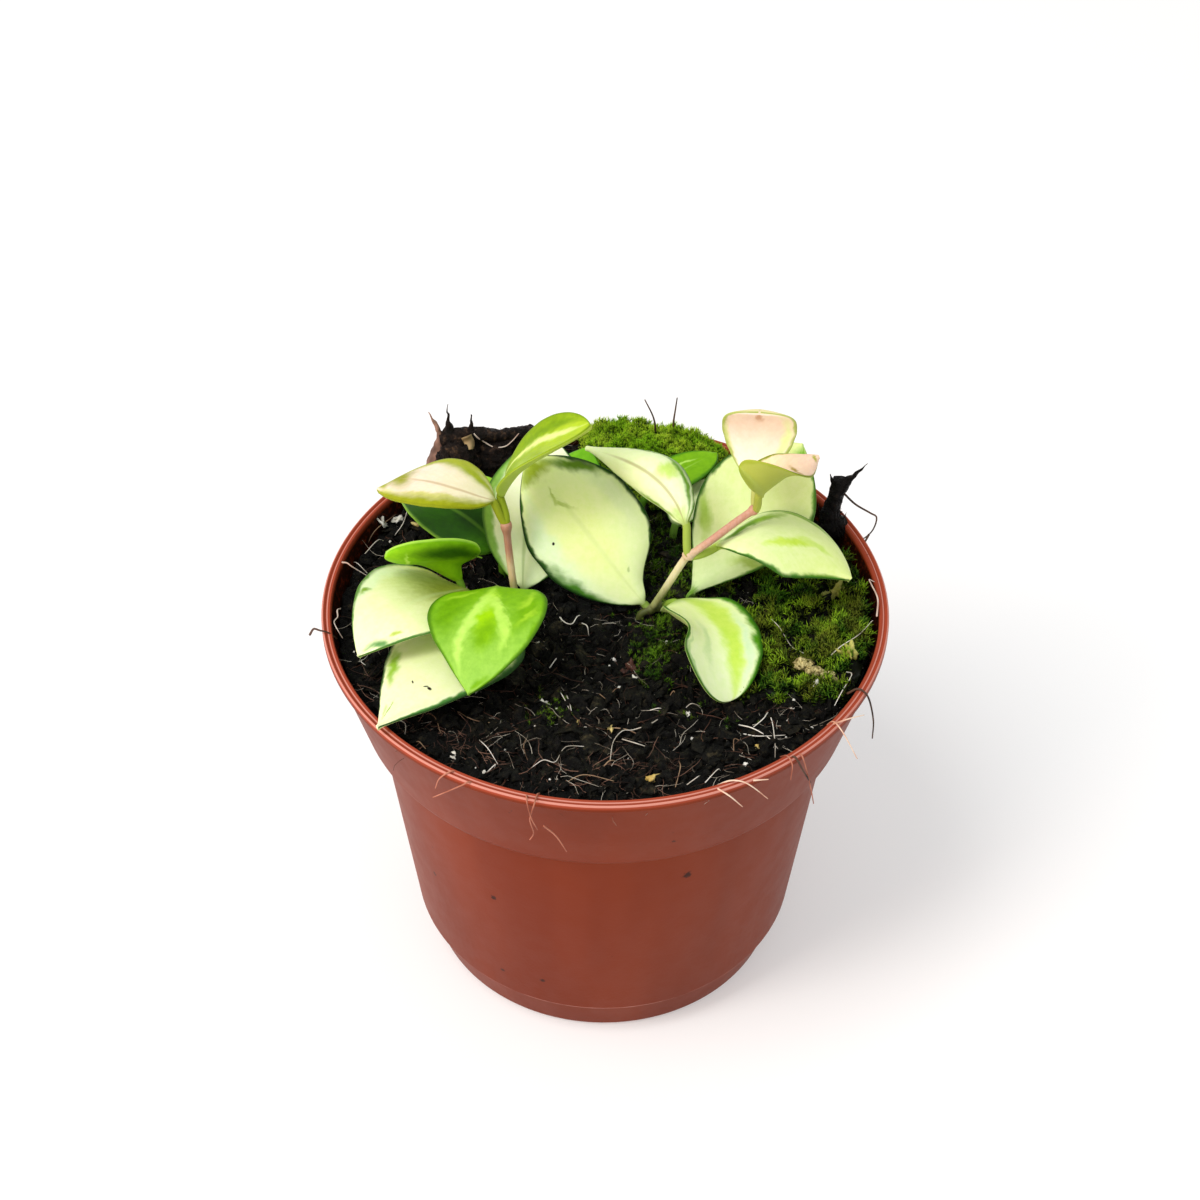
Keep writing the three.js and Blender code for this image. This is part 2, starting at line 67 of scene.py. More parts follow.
def node(tree, kind, inputs=(), out=0, stops=None, **settings):
    # adds one node with its settings, its values and its links, and gives one of its outputs
    made = tree.nodes.new("ShaderNode" + kind)
    for key, value in settings.items():
        setattr(made, key, value)
    if stops:
        ramp = made.color_ramp.elements
        while len(ramp) < len(stops):
            ramp.new(1.0)
        for element, (place, color) in zip(ramp, stops):
            element.position = place
            element.color = color
    for key, value in inputs.items() if isinstance(inputs, dict) else enumerate(inputs):
        if isinstance(value, bpy.types.NodeSocket):
            tree.links.new(value, made.inputs[key])
        else:
            made.inputs[key].default_value = value
    return made.outputs[out] if made.outputs else made


# settings that many nodes share: a Mix of two colours (0 the share, 6 and 7 the colours), and a
# Map Range that eases in and out
colorMix = {"data_type": "RGBA", "out": 2}
softStep = {"interpolation_type": "SMOOTHSTEP"}


def newMaterial(name):
    material = bpy.data.materials.new(name)
    material.use_nodes = True
    material.node_tree.nodes.clear()
    return material, material.node_tree


def patchy(tree, place, size, low=0.0, high=1.0, least=0.0, most=1.0, detail=2.0, rough=0.55):
    # patches about size millimetres across, from least to most where the noise rises low to high
    level = node(tree, "TexNoise", {"Vector": place, "Scale": 1 / (size * mm), "Detail": detail,
                                    "Roughness": rough})
    return node(tree, "MapRange", (level, low, high, least, most), **softStep)


def finishPiece(bm, name, materials, replaced=(), flat=False):
    # turns a bmesh in millimetres into an object in metres that rides on the plant's one body
    bm.transform(Matrix.Scale(mm, 4))
    mesh = bpy.data.meshes.new(name)
    for face in bm.faces:
        face.smooth = not flat
    bm.to_mesh(mesh)
    bm.free()
    for material in materials:
        mesh.materials.append(material)
    piece = bpy.data.objects.new(name, mesh)
    scene.collection.objects.link(piece)
    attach(piece, "root")
    if replaced:
        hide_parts(*replaced)
    return piece


def tubeAlong(bm, around, rings):
    # a capped cylinder of radius 1 from z 0 to z 1, cut into rings: its points are then moved
    made = bmesh.ops.create_cone(bm, cap_ends=True, segments=around, radius1=1, radius2=1, depth=1)
    sides = {e for v in made["verts"] for e in v.link_edges
             if abs(e.verts[0].co.z - e.verts[1].co.z) > 0.5}
    bmesh.ops.subdivide_edges(bm, edges=list(sides), cuts=rings - 1)
    for v in bm.verts:
        v.co.z += 0.5


def pathPoint(points, share):
    # a point and a direction on the smooth curve through the points
    last = len(points) - 1
    at = min(share, 0.999999) * last
    i = int(at)
    t = at - i
    p1, p2 = points[i], points[i + 1]
    p0 = points[i - 1] if i > 0 else p1 * 2 - p2
    p3 = points[i + 2] if i + 2 <= last else p2 * 2 - p1
    place = 0.5 * (2 * p1 + (p2 - p0) * t + (2 * p0 - 5 * p1 + 4 * p2 - p3) * t * t
                   + (3 * p1 - p0 - 3 * p2 + p3) * t ** 3)
    along = 0.5 * ((p2 - p0) + 2 * (2 * p0 - 5 * p1 + 4 * p2 - p3) * t
                   + 3 * (3 * p1 - p0 - 3 * p2 + p3) * t * t)
    return place, along.normalized()


def cordOf(points, radiusAt, around, rings):
    # a bmesh tube through the points, whose radius changes along it
    bm = bmesh.new()
    tubeAlong(bm, around, rings)
    uv = bm.loops.layers.uv.new("along")
    for face in bm.faces:
        for loop in face.loops:
            loop[uv].uv = (0.5, loop.vert.co.z)
    course = [Vector(p) for p in points]
    spots = {}
    across = Vector((0.03, 1, 0.11))
    for ring in range(rings + 1):
        place, along = pathPoint(course, ring / rings)
        across = (across - along * across.dot(along)).normalized()
        spots[ring] = (place, across.copy(), along.cross(across))
    for v in bm.verts:
        ring = round(v.co.z * rings)
        place, side, other = spots[ring]
        radius = radiusAt(ring / rings)
        v.co = place + side * (v.co.x * radius) + other * (v.co.y * radius)
    return bm


def added(bm, other):
    # joins another bmesh to this one and frees it
    mesh = bpy.data.meshes.new("joining")
    other.to_mesh(mesh)
    other.free()
    bm.from_mesh(mesh)
    bpy.data.meshes.remove(mesh)


def scattered(shapes, places):
    # one bmesh with a copy of a shape at each place: (which shape, matrix)
    bm = bmesh.new()
    meshes = []
    for shape in shapes:
        mesh = bpy.data.meshes.new("shape")
        shape.to_mesh(mesh)
        shape.free()
        meshes.append(mesh)
    for which, matrix in places:
        mesh = meshes[which % len(meshes)]
        mesh.transform(matrix)
        bm.from_mesh(mesh)
        mesh.transform(matrix.inverted())
    for mesh in meshes:
        bpy.data.meshes.remove(mesh)
    return bm


# The soil's surface, in millimetres, as the solids have it

def soilTop(x, y):
    front = 1.8 * smooth((-y - 28) / 26)
    rear = 2.2 * smooth((y - 30) / 22)
    dip = 0.8 * bell((x - 2) / 9) * bell((y - 14) / 10)
    clods = (math.sin(0.83 * x + 1.3) * math.cos(0.71 * y) + 0.6 * math.sin(1.31 * x - 0.97 * y)
             + 0.5 * math.cos(1.9 * y + 0.6 * x))
    return 90 + front + rear - dip + 0.55 * clods


# Camera and light

view = {"place": (0, -345.9, 408.5), "elevation": 42.26, "yaw": 0.1845, "roll": 0.2825,
        "focalPixels": 2200.7, "imagePixels": 1200, "sensor": 36.0}


def addCamera():
    elevation, yaw = math.radians(view["elevation"]), math.radians(view["yaw"])
    back = Vector((math.sin(yaw) * math.cos(elevation), -math.cos(yaw) * math.cos(elevation),
                   math.sin(elevation)))
    right = Vector((0, 0, 1)).cross(back).normalized()
    up = back.cross(right)
    turn = Matrix((right, up, back)).transposed().to_4x4() @ Matrix.Rotation(
        math.radians(view["roll"]), 4, "Z")
    data = bpy.data.cameras.new("camera")
    data.sensor_width = view["sensor"]
    data.lens = view["focalPixels"] / view["imagePixels"] * view["sensor"]
    data.clip_start = 0.01
    camera = bpy.data.objects.new("camera", data)
    camera.matrix_world = Matrix.Translation(Vector(view["place"]) * mm) @ turn
    scene.collection.objects.link(camera)
    scene.camera = camera


# places in metres from the pot's foot, and powers in watts
studio = {
    "world": 0.65, "paper": "#D6D6D6", "paperGlow": 0.33, "paperSize": 4, "aim": (0, 0, 0.07),
    "lights": {
        "key": {"place": (-0.74, -0.52, 1.46), "wide": 0.5, "tall": 1.1, "power": 17.8,
                "color": "#FFFEFB"},
        "window": {"place": (-1.2, -0.75, 0.45), "wide": 0.7, "tall": 0.7, "power": 8.0,
                   "color": "#FFD2B6"},
        "fill": {"place": (0.5, -0.9, 0.6), "wide": 0.8, "tall": 0.8, "power": 0.5,
                 "color": "#F6FAFF"}},
}


def addLight(name, place, wide, tall, power, color):
    data = bpy.data.lights.new(name, "AREA")
    data.shape = "RECTANGLE"
    data.size = wide
    data.size_y = tall
    data.energy = power
    data.color = linear(color)[:3]
    lamp = bpy.data.objects.new(name, data)
    lamp.location = place
    aim = Vector(studio["aim"]) - Vector(place)
    lamp.rotation_euler = aim.to_track_quat("-Z", "Y").to_euler()
    scene.collection.objects.link(lamp)


def addStudio():
    world = bpy.data.worlds.new("studio")
    world.use_nodes = True
    world.node_tree.nodes["Background"].inputs["Color"].default_value = (1, 1, 1, 1)
    world.node_tree.nodes["Background"].inputs["Strength"].default_value = studio["world"]
    scene.world = world
    scene.view_settings.view_transform = "Standard"
    for name, settings in studio["lights"].items():
        addLight(name, **settings)
    bm = bmesh.new()
    bmesh.ops.create_grid(bm, x_segments=1, y_segments=1, size=studio["paperSize"])
    mesh = bpy.data.meshes.new("floor")
    bm.to_mesh(mesh)
    bm.free()
    material, tree = newMaterial("paleStudioPaper")
    shader = node(tree, "BsdfPrincipled", {
        "Base Color": linear(studio["paper"]), "Roughness": 0.9, "Specular IOR Level": 0.0,
        "Emission Color": (1, 1, 1, 1), "Emission Strength": studio["paperGlow"]})
    node(tree, "OutputMaterial", (shader,))
    mesh.materials.append(material)
    floor = bpy.data.objects.new("floor", mesh)
    scene.collection.objects.link(floor)


addCamera()
addStudio()
print("camera and light placed")


# Pot: injection moulded polypropylene, so satin, with a thin lip, faint flow lines and dry dirt

potSize = {"rimRadius": 60, "height": 95, "collarFoot": 70.5, "collarFootRadius": 53.6,
           "bodyTopRadius": 50.1, "bodyFootRadius": 43.8, "footHeight": 10.7, "footRadius": 39.2,
           "lipWidth": 1.95, "lipHeight": 2, "lipStep": 0.8, "edgeRound": 1.2, "wall": 1.3,
           "floorTop": 3, "footRecess": 1.4, "footRingWidth": 3.2, "drainRadius": 3.4,
           "drainRing": 25, "drainCount": 8, "turnSteps": 160}


def collarInside(z):
    # the radius of the collar's inner side at a height
    p = potSize
    high = p["height"] - p["lipHeight"] - p["collarFoot"]
    slope = (p["rimRadius"] - p["lipStep"] - p["collarFootRadius"]) / high
    return p["collarFootRadius"] - p["wall"] + slope * (z - p["collarFoot"])


# colours, and where they lie in millimetres: heights, then radii with their half width. The peat
# on the collar's inside is found by its depth under the leaning wall and by its heights. Each
# kind of soiling has its tone and what patchy takes.
# the pale tone on the lip's two ridges and on the foot step is a painted highlight
potLook = {"wall": ("#742C12", "#7E3216"), "lip": "#9C442E", "lipHeights": (93.8, 94.4),
           "paintedHighlight": "#F0B4A6", "paintedHighlightShare": 0.5, "paintedHighlightHeights": (94.4, 94.8),
           "ridges": [(59.8, 0.16), (58.8, 0.12)], "footStep": (10.8, 0.4), "peat": "#1C0D07",
           "collarLean": 13.98, "peatDepths": (35.4, 35), "peatHeights": [(84, 86), (93.9, 93.1)],
           "shine": 0.045,
           "soiling": [("#A8664E", 1.1, 0.62, 0.75, 0, 0.05, 6, 0.7),
                       ("#3A170D", 3.2, 0.735, 0.765, 0, 0.6, 3, 0.65)],
           "markShare": 0.85, "raggedSize": 0.9, "raggedReach": 1.6}

# dry spots on the wall: place and size, in millimetres
potMarks = [(-23.3, -41.6, 46.0, 0.6), (-37.0, -28.8, 38.8, 0.5), (17.4, -45.9, 59.0, 0.8),
            (-13.4, -42.7, 19.5, 0.5), (-22.2, -38.7, 17.8, 0.5), (14.0, -53.4, 78.0, 0.4)]


def potSkin():
    material, tree = newMaterial("mouldedTerracottaPlastic")
    place = node(tree, "TexCoord", out="Object")
    height = node(tree, "SeparateXYZ", (place,), "Z")
    flat = node(tree, "VectorMath", (place, (1, 1, 0)), operation="MULTIPLY")
    away = node(tree, "VectorMath", (flat,), "Value", operation="LENGTH")
    # slow changes of colour from the melt's flow
    flow = node(tree, "Mapping", {"Vector": place, "Scale": (1, 1, 0.25)})
    color = node(tree, "Mix", {0: patchy(tree, flow, 22, 0.3, 0.7), 6: linear(potLook["wall"][0]),
                               7: linear(potLook["wall"][1])}, **colorMix)
    # the lip is thin, lets some light through, painted lighter; its ridges get painted highlights
    lip = node(tree, "MapRange", (height, *(z * mm for z in potLook["lipHeights"])), **softStep)
    color = node(tree, "Mix", {0: lip, 6: color, 7: linear(potLook["lip"])}, **colorMix)
    low, high = potLook["paintedHighlightHeights"]
    # painted highlights: thin pale lines along the two ridges of the lip's top
    for ridge, reach in potLook["ridges"]:
        gap = node(tree, "Math", (away, ridge * mm, reach * mm), operation="COMPARE")
        above = node(tree, "MapRange", (height, low * mm, high * mm, 0, potLook["paintedHighlightShare"]),
                     **softStep)
        paintedHighlight = node(tree, "Math", (gap, above), operation="MULTIPLY")
        color = node(tree, "Mix", {0: paintedHighlight, 6: color, 7: linear(potLook["paintedHighlight"])}, **colorMix)
    # the step above the foot catches the light: a painted highlight in the ridges' pale tone
    at, reach = potLook["footStep"]
    step = node(tree, "Math", (height, at * mm, reach * mm), operation="COMPARE")
    broken = patchy(tree, place, 6, 0.35, 0.6, 0.05, 0.4, 3)
    step = node(tree, "Math", (step, broken), operation="MULTIPLY")
    color = node(tree, "Mix", {0: step, 6: color, 7: linear(potLook["paintedHighlight"])}, **colorMix)
    # damp peat sticks to the inside of the collar
    slope = -math.tan(math.radians(potLook["collarLean"]))
    depth = node(tree, "Math", (height, slope, away), operation="MULTIPLY_ADD")
    inner = node(tree, "MapRange", (depth, *(far * mm for far in potLook["peatDepths"])),
                 **softStep)
    for low, high in potLook["peatHeights"]:
        above = node(tree, "MapRange", (height, low * mm, high * mm), **softStep)
        inner = node(tree, "Math", (inner, above), operation="MULTIPLY")
    stuck = patchy(tree, place, 1.4, 0.32, 0.5, 0.35, 0.95, 4, 0.7)
    stuck = node(tree, "Math", (inner, stuck), operation="MULTIPLY")
    color = node(tree, "Mix", {0: stuck, 6: color, 7: linear(potLook["peat"])}, **colorMix)
    # dust held in fine scuffs, and specks of dry peat
    for tone, *patches in potLook["soiling"]:
        share = patchy(tree, place, *patches)
        color = node(tree, "Mix", {0: share, 6: color, 7: linear(tone)}, **colorMix)
    # the larger dry marks, with ragged outlines
    ragged = node(tree, "TexNoise", {
        "Vector": place, "Scale": 1 / (potLook["raggedSize"] * mm)}, "Color")
    ragged = node(tree, "VectorMath", (ragged, (0.5, 0.5, 0.5)), operation="SUBTRACT")
    ragged = node(tree, "VectorMath", {0: ragged, "Scale": potLook["raggedReach"] * mm},
                  operation="SCALE")
    bent = node(tree, "VectorMath", (place, ragged), operation="ADD")
    for x, y, z, size in potMarks:
        gap = node(tree, "VectorMath", (bent, (x * mm, y * mm, z * mm)), "Value",
                   operation="DISTANCE")
        mark = node(tree, "MapRange", (gap, size * 1.5 * mm, size * 0.8 * mm, 0,
                                       potLook["markShare"]), **softStep)
        color = node(tree, "Mix", {0: mark, 6: color, 7: linear(potLook["peat"])}, **colorMix)
    bump = node(tree, "Bump", {"Strength": 0.06, "Distance": 0.2 * mm,
                               "Height": patchy(tree, place, 0.8, detail=3)})
    shader = node(tree, "BsdfPrincipled", {
        "Base Color": color, "Roughness": patchy(tree, place, 5, 0.3, 0.7, 0.38, 0.43, 4),
        "IOR": 1.49, "Normal": bump, "Specular IOR Level": potLook["shine"]})
    node(tree, "OutputMaterial", (shader,))
    return material


def makePot():
    p = potSize
    top, foot, soft, wall = p["height"], p["footHeight"], p["edgeRound"], p["wall"]
    rim, lip = p["rimRadius"], p["rimRadius"] - p["lipWidth"]
    collar, collarFoot = p["collarFootRadius"], p["collarFoot"]
    bodyTop, bodyFoot = p["bodyTopRadius"], p["bodyFootRadius"]
    footEdge, footRing = p["footRadius"], p["footRadius"] - p["footRingWidth"]
    # from the middle of the underside, up the outside, over the lip and down the inside
    outline = [
        (0, p["footRecess"]), (footRing - 0.4, p["footRecess"]), (footRing, 0.9), (footRing, 0),
        (footEdge - 0.7, 0), (footEdge + 0.3, 0.25), (footEdge + soft, soft),
        (bodyFoot - 1.5, foot - 1.8), (bodyFoot - 0.5, foot - 0.5), (bodyFoot + 0.1, foot + 0.4),
        (bodyTop - 0.1, collarFoot - 3.4), (bodyTop + 0.3, collarFoot - 1.9),
        (bodyTop + 1.3, collarFoot - 0.6), (collar - 0.5, collarFoot),
        (collar + 0.05, collarFoot + 1.2), (rim - p["lipStep"] - 0.05, top - 2.3),
        (rim - 0.3, top - 2.0), (rim, top - 1.6), (rim, top - 0.45), (rim - 0.12, top - 0.14),
        (rim - 0.4, top), (rim - 0.68, top - 0.12), (rim - 0.84, top - 0.34),
        (rim - 1.05, top - 0.3), (rim - 1.25, top - 0.16), (lip + 0.15, top - 0.1),
        (lip - 0.1, top - 0.35), (collarInside(top - 2), top - 2), (collar - wall, collarFoot + 1),
        (bodyTop - wall, collarFoot - 2.2), (bodyFoot - wall, foot),
        (footEdge - wall, p["floorTop"]), (0, p["floorTop"]),
    ]
    bm = bmesh.new()
    corners = [bm.verts.new((radius, 0, z)) for radius, z in outline]
    edges = [bm.edges.new(pair) for pair in zip(corners, corners[1:])]
    bmesh.ops.spin(bm, geom=corners + edges, cent=(0, 0, 0), axis=(0, 0, 1), angle=2 * math.pi,
                   steps=p["turnSteps"], use_merge=True)
    bmesh.ops.remove_doubles(bm, verts=bm.verts, dist=0.001)
    bmesh.ops.recalc_face_normals(bm, faces=bm.faces)
    pot = finishPiece(bm, "potShell", [potSkin()], ["pot"])
    drills = bmesh.new()
    for i in range(p["drainCount"]):
        turn = Matrix.Rotation((i + 0.5) * 2 * math.pi / p["drainCount"], 4, "Z")
        bmesh.ops.create_cone(drills, cap_ends=True, segments=32, radius1=p["drainRadius"],
                              radius2=p["drainRadius"], depth=14,
                              matrix=turn @ Matrix.Translation((p["drainRing"], 0, 0)))
    drills.transform(Matrix.Scale(mm, 4))
    mesh = bpy.data.meshes.new("drills")
    drills.to_mesh(mesh)
    drills.free()
    cutter = bpy.data.objects.new("drills", mesh)
    scene.collection.objects.link(cutter)
    cut = pot.modifiers.new("drain", "BOOLEAN")
    cut.operation = "DIFFERENCE"
    cut.solver = "EXACT"
    cut.object = cutter
    shaped = bpy.data.meshes.new_from_object(
        pot.evaluated_get(bpy.context.evaluated_depsgraph_get()))
    pot.modifiers.clear()
    pot.data = shaped
    pot.data.name = "potShell"
    for face in shaped.polygons:
        face.use_smooth = True
    bpy.data.objects.remove(cutter)
    split = pot.modifiers.new("crispEdges", "EDGE_SPLIT")
    split.split_angle = math.radians(50)


makePot()
print("pot made")


# Leaves: each blade and its stalk are one skin, mapped from a cylinder cut into rings

leafBuild = {"around": 44, "stalkRings": 10, "bladeRings": 62, "stalkRadius": 0.85,
             "middle": 1.5, "edge": 0.75, "twistPivot": 0.3, "stalkEnd": 0.12, "bladeFrom": 0.1,
             "leastHalf": 0.25, "wobble": 0.025, "groove": 0.16, "grooveWidth": 0.07,
             "wave": 0.16, "waveSize": 7}

# what a leaf has unless its own row says otherwise
leafCommon = {"heading": (0, 0, 1), "roll": 0, "sway": (0, 0), "twist": 0, "slender": 1,
              "cupFrom": 0.117}

# Millimetres and degrees. The stalk goes from its seat to the blade's base, the midrib from there
# to the tip. Arch and sway move the midrib's two handles up and aside, fullness shapes the blade
# at base and tip, and cup bends its halves up, at the tip by tipCup where there is one. A notch
# has the margin's side, its place, its spread and its depth.

leafForms = {
    "a1": {"seat": (-22.5, 5.7, 111.5), "joint": (-20.9, 5.4, 110.3), "heading": (-0.3, 0.2, 1),
           "base": (-23.5, 6.8, 115.5), "tip": (-48, 11.6, 114.2), "width": 19, "roll": 6,
           "arch": (7, 2.8), "sway": (0, 0.4), "twist": 6, "fullness": (0.63, 0.83), "cup": -4},
    "a2": {"seat": (-19.9, 6.9, 111.6), "joint": (-20.9, 5.4, 110.3), "heading": (-0.1, 0.1, 1),
           "base": (-22, 8.4, 115.8), "tip": (-3.2, 9.8, 133.3), "width": 18.8, "roll": -18,
           "arch": (4, 2.2), "sway": (-0.4, 0), "twist": 13, "fullness": (0.65, 0.65), "cup": 31},
    "a3": {"seat": (-16.8, 5.2, 82), "base": (-17.4, 5.2, 92.5), "tip": (-12, 29, 114.8),
           "width": 23.6, "roll": -3, "arch": (1.7, 1.1), "sway": (-0.3, -0.9),
           "fullness": (0.79, 0.73), "cup": -5},
    "a4": {"seat": (-22.5, 12.5, 82), "base": (-23.3, 14.5, 95.5), "tip": (-45.5, 31.6, 97.7),
           "width": 25, "roll": 3, "arch": (3.5, 2.5), "sway": (1.6, 0.6), "twist": 8,
           "fullness": (0.5, 0.82), "cup": 30},
    "a5": {"seat": (-26.6, 2.7, 103.7), "joint": (-26, 2.8, 103.4), "slender": 0.2,
           "heading": (-1, 0, 0.3), "base": (-27.2, 2.6, 104), "tip": (-45.5, -3.2, 109.4),
           "width": 15, "roll": 58, "arch": (0.2, -1.4), "sway": (-1, -0.3), "twist": 3,
           "fullness": (0.4, 0.45), "cup": 20,
           "funnel": {"at": 0.3, "spread": 0.15, "rim": (-35.2, 3.8, 100.2),
                      "to": (-30.6, 1.6, 96.4), "radius": 0.8,
                      "stalk": [(-30, 0.6, 93.2), (-30.1, 0.9, 94.8), (-30.6, 1.6, 96.8),
                                (-31.4, 2.3, 98.6)]}},
    "a6": {"seat": (-29.9, 0.2, 94.5), "joint": (-30, 0.6, 93), "heading": (-0.2, 0, 1),
           "base": (-29.4, 0.2, 96), "tip": (-50.1, -23, 99), "width": 26.8, "roll": 2,
           "arch": (4.4, 7.5), "sway": (0.5, 1.1), "twist": 1, "fullness": (0.59, 0.92), "cup": 15},
    "a7": {"seat": (-24.4, -5, 92.8), "joint": (-23.9, -3, 92.2), "heading": (0, -0.6, 1),
           "base": (-24.4, -6, 94.3), "tip": (-44.8, -41.7, 97.5), "width": 28, "roll": 6,
           "arch": (1.3, 1.7), "sway": (0, -1), "twist": 4, "fullness": (0.45, 1.08), "cup": -10},
    "a8": {"seat": (-20.6, -4.1, 92.6), "joint": (-23.5, -3, 92.2), "heading": (0, -0.1, 1),
           "base": (-22.5, -8.2, 104.3), "tip": (-27, -36, 101.2), "width": 24.8, "roll": 8,
           "arch": (5.2, 5), "sway": (-1.2, -2), "twist": -5, "fullness": (0.53, 0.94), "cup": 12},
    "c1": {"seat": (8.2, 0.8, 92.6), "joint": (9.4, -0.8, 92.2), "heading": (-0.4, 0.5, 1),
           "base": (8.2, 0.4, 93), "tip": (-17, 21.8, 114.5), "width": 26.3, "roll": -28,
           "arch": (2.4, 0.6), "sway": (0.2, 1.7), "fullness": (0.8, 0.78),
           "notch": (1, 0.08, 0.12, 0.48), "cup": -17},
    "c2": {"seat": (-11, 25, 82), "base": (-10.5, 26.5, 93), "tip": (-4.5, 43.5, 100.5),
           "width": 14, "arch": (1.5, 1), "fullness": (0.6, 0.7), "cup": -10},
    "b1": {"seat": (16.3, 0, 109.3), "joint": (17.1, -1.1, 107.8), "heading": (0, 0.5, 1),
           "base": (16.7, 3.6, 112.4), "tip": (-4.1, 25.8, 114.6), "width": 15.6, "roll": -50,
           "arch": (4.2, 1.9), "sway": (7.1, 3.8), "twist": 34, "fullness": (0.8, 1.35),
           "cup": -95},
    "b3": {"seat": (19.1, -1.3, 106.9), "joint": (17.1, -1.1, 107.6), "heading": (1, 0.4, -0.1),
           "base": (23.4, 2.8, 107), "tip": (51, -3.3, 103.3), "width": 22.9, "roll": -6,
           "arch": (8.7, 3.9), "sway": (-3.2, -5.7), "twist": 7, "fullness": (0.82, 0.86),
           "cup": -21},
    "b5": {"seat": (18, 4.6, 82), "base": (18.2, 4.8, 91), "tip": (42.4, 28.3, 114.2),
           "width": 26.9, "roll": 8, "arch": (1, 1.2), "sway": (0.2, -1.4), "twist": 1,
           "fullness": (1.32, 0.88), "cup": -12},
    "b6": {"seat": (30.6, 6.8, 116.3), "joint": (31, 4.9, 115.2), "heading": (0, 0.5, 1),
           "base": (31.2, 9.6, 117.5), "tip": (31.6, 16.8, 131.7), "width": 15.8, "roll": -6,
           "arch": (-3, -5), "fullness": (0.74, 0.19), "cup": 7},
    "b7": {"seat": (32.1, 3.3, 117.2), "joint": (31, 4.9, 115.2), "heading": (0, -0.4, 1),
           "base": (31.4, 2.2, 121.6), "tip": (43.4, 6.8, 127.7), "width": 19, "roll": -47,
           "arch": (1.3, 1.4), "sway": (0.8, 1.5), "twist": 80, "fullness": (0.27, 0.85),
           "notch": (-1, 0.05, 0.1, 0.75), "cup": 135, "tipCup": -60},
    "b8": {"seat": (8, 31, 82), "base": (8.6, 32, 95.5), "tip": (25, 43, 99.6), "width": 11,
           "arch": (2, 1), "fullness": (0.6, 0.7), "cup": 15},
    "b9": {"seat": (15, 25, 82), "base": (15.4, 26, 93), "tip": (22, 38.6, 95.4), "width": 9,
           "arch": (1, 1), "fullness": (0.6, 0.7), "cup": 10},
    "d1": {"seat": (13.8, -0.6, 92.9), "joint": (12.4, 0.4, 92.1), "heading": (0.2, -0.2, 1),
           "base": (15, -3, 96.2), "tip": (25.2, -28.8, 92.6), "width": 22, "roll": -20,
           "arch": (3, 4.8), "sway": (-5, 2.2), "twist": 4, "fullness": (0.26, 0.43),
           "notch": (1, 0.46, 0.17, 0.38), "cupFrom": 0.17, "cup": 34},
}


def bezier(handles, t):
    a, b, c, d = handles
    place = a * (1 - t) ** 3 + b * (3 * t * (1 - t) ** 2) + c * (3 * t * t * (1 - t)) + d * t ** 3
    along = (b - a) * (3 * (1 - t) ** 2) + (c - b) * (6 * t * (1 - t)) + (d - c) * (3 * t * t)
    return place, along.normalized()


def bladeCurves(form):
    # the stalk's curve, the midrib's curve and the direction across the blade
    base, tip, seat = Vector(form["base"]), Vector(form["tip"]), Vector(form["seat"])
    along = (tip - base).normalized()
    length = (tip - base).length
    up = (Vector((0, 0, 1)) - along * along.z).normalized()
    side = along.cross(up)
    roll = math.radians(form["roll"])
    normal = up * math.cos(roll) + side * math.sin(roll)
    across = along.cross(normal)
    midrib = [base]
    for i in (0, 1):
        midrib.append(base + along * (length * (i + 1) / 3) + normal * form["arch"][i]
                      + across * form["sway"][i])
    midrib.append(tip)
    # the stalk starts inside the stem's knuckle where there is one
    start = Vector(form["joint"]) if "joint" in form else seat
    reach = (seat - base).length / 3
    stalk = [start, mixed(start, seat, 0.6) + Vector(form["heading"]).normalized() * reach,
             base - (midrib[1] - base).normalized() * (reach / 2), base]
    return stalk, midrib, across


def bladeWidth(form, s):
    a, b = form["fullness"]
    peak = (a / (a + b)) ** a * (b / (a + b)) ** b
    return form["width"] / 2 * max(s, 0) ** a * max(1 - s, 0) ** b / peak


def leafSection(form, curves, v, seed):
    # what one ring needs: its centre, its axes, half width, bend and how far it is a blade
    stalk, midrib, across = curves
    thin = leafBuild["stalkRadius"] * form["slender"]
    if v < 0:
        centre, along = bezier(stalk, 1 + v)
        side = (across - along * across.dot(along)).normalized()
        return centre, side, side.cross(along), thin, 0.0, 0.0
    centre, along = bezier(midrib, v)
    turn = math.radians(form["twist"]) * (v - leafBuild["twistPivot"])
    side = Quaternion(along, turn) @ across
    side = (side - along * side.dot(along)).normalized()
    stalkShare = thin * (1 - smooth(v / leafBuild["stalkEnd"]))
    wobble = 1 + leafBuild["wobble"] * noise.noise(Vector((v * 7, seed, 0))) * smooth(v * 4)
    half = (bladeWidth(form, v) * wobble) ** 4 + stalkShare ** 4 + leafBuild["leastHalf"] ** 4
    cup = mixed(form["cup"], form.get("tipCup", form["cup"]), v)
    bend = math.radians(cup) * smooth(v / form["cupFrom"])
    blade = smooth(v / leafBuild["bladeFrom"])
    return centre, side, side.cross(along), half ** 0.25, bend, blade


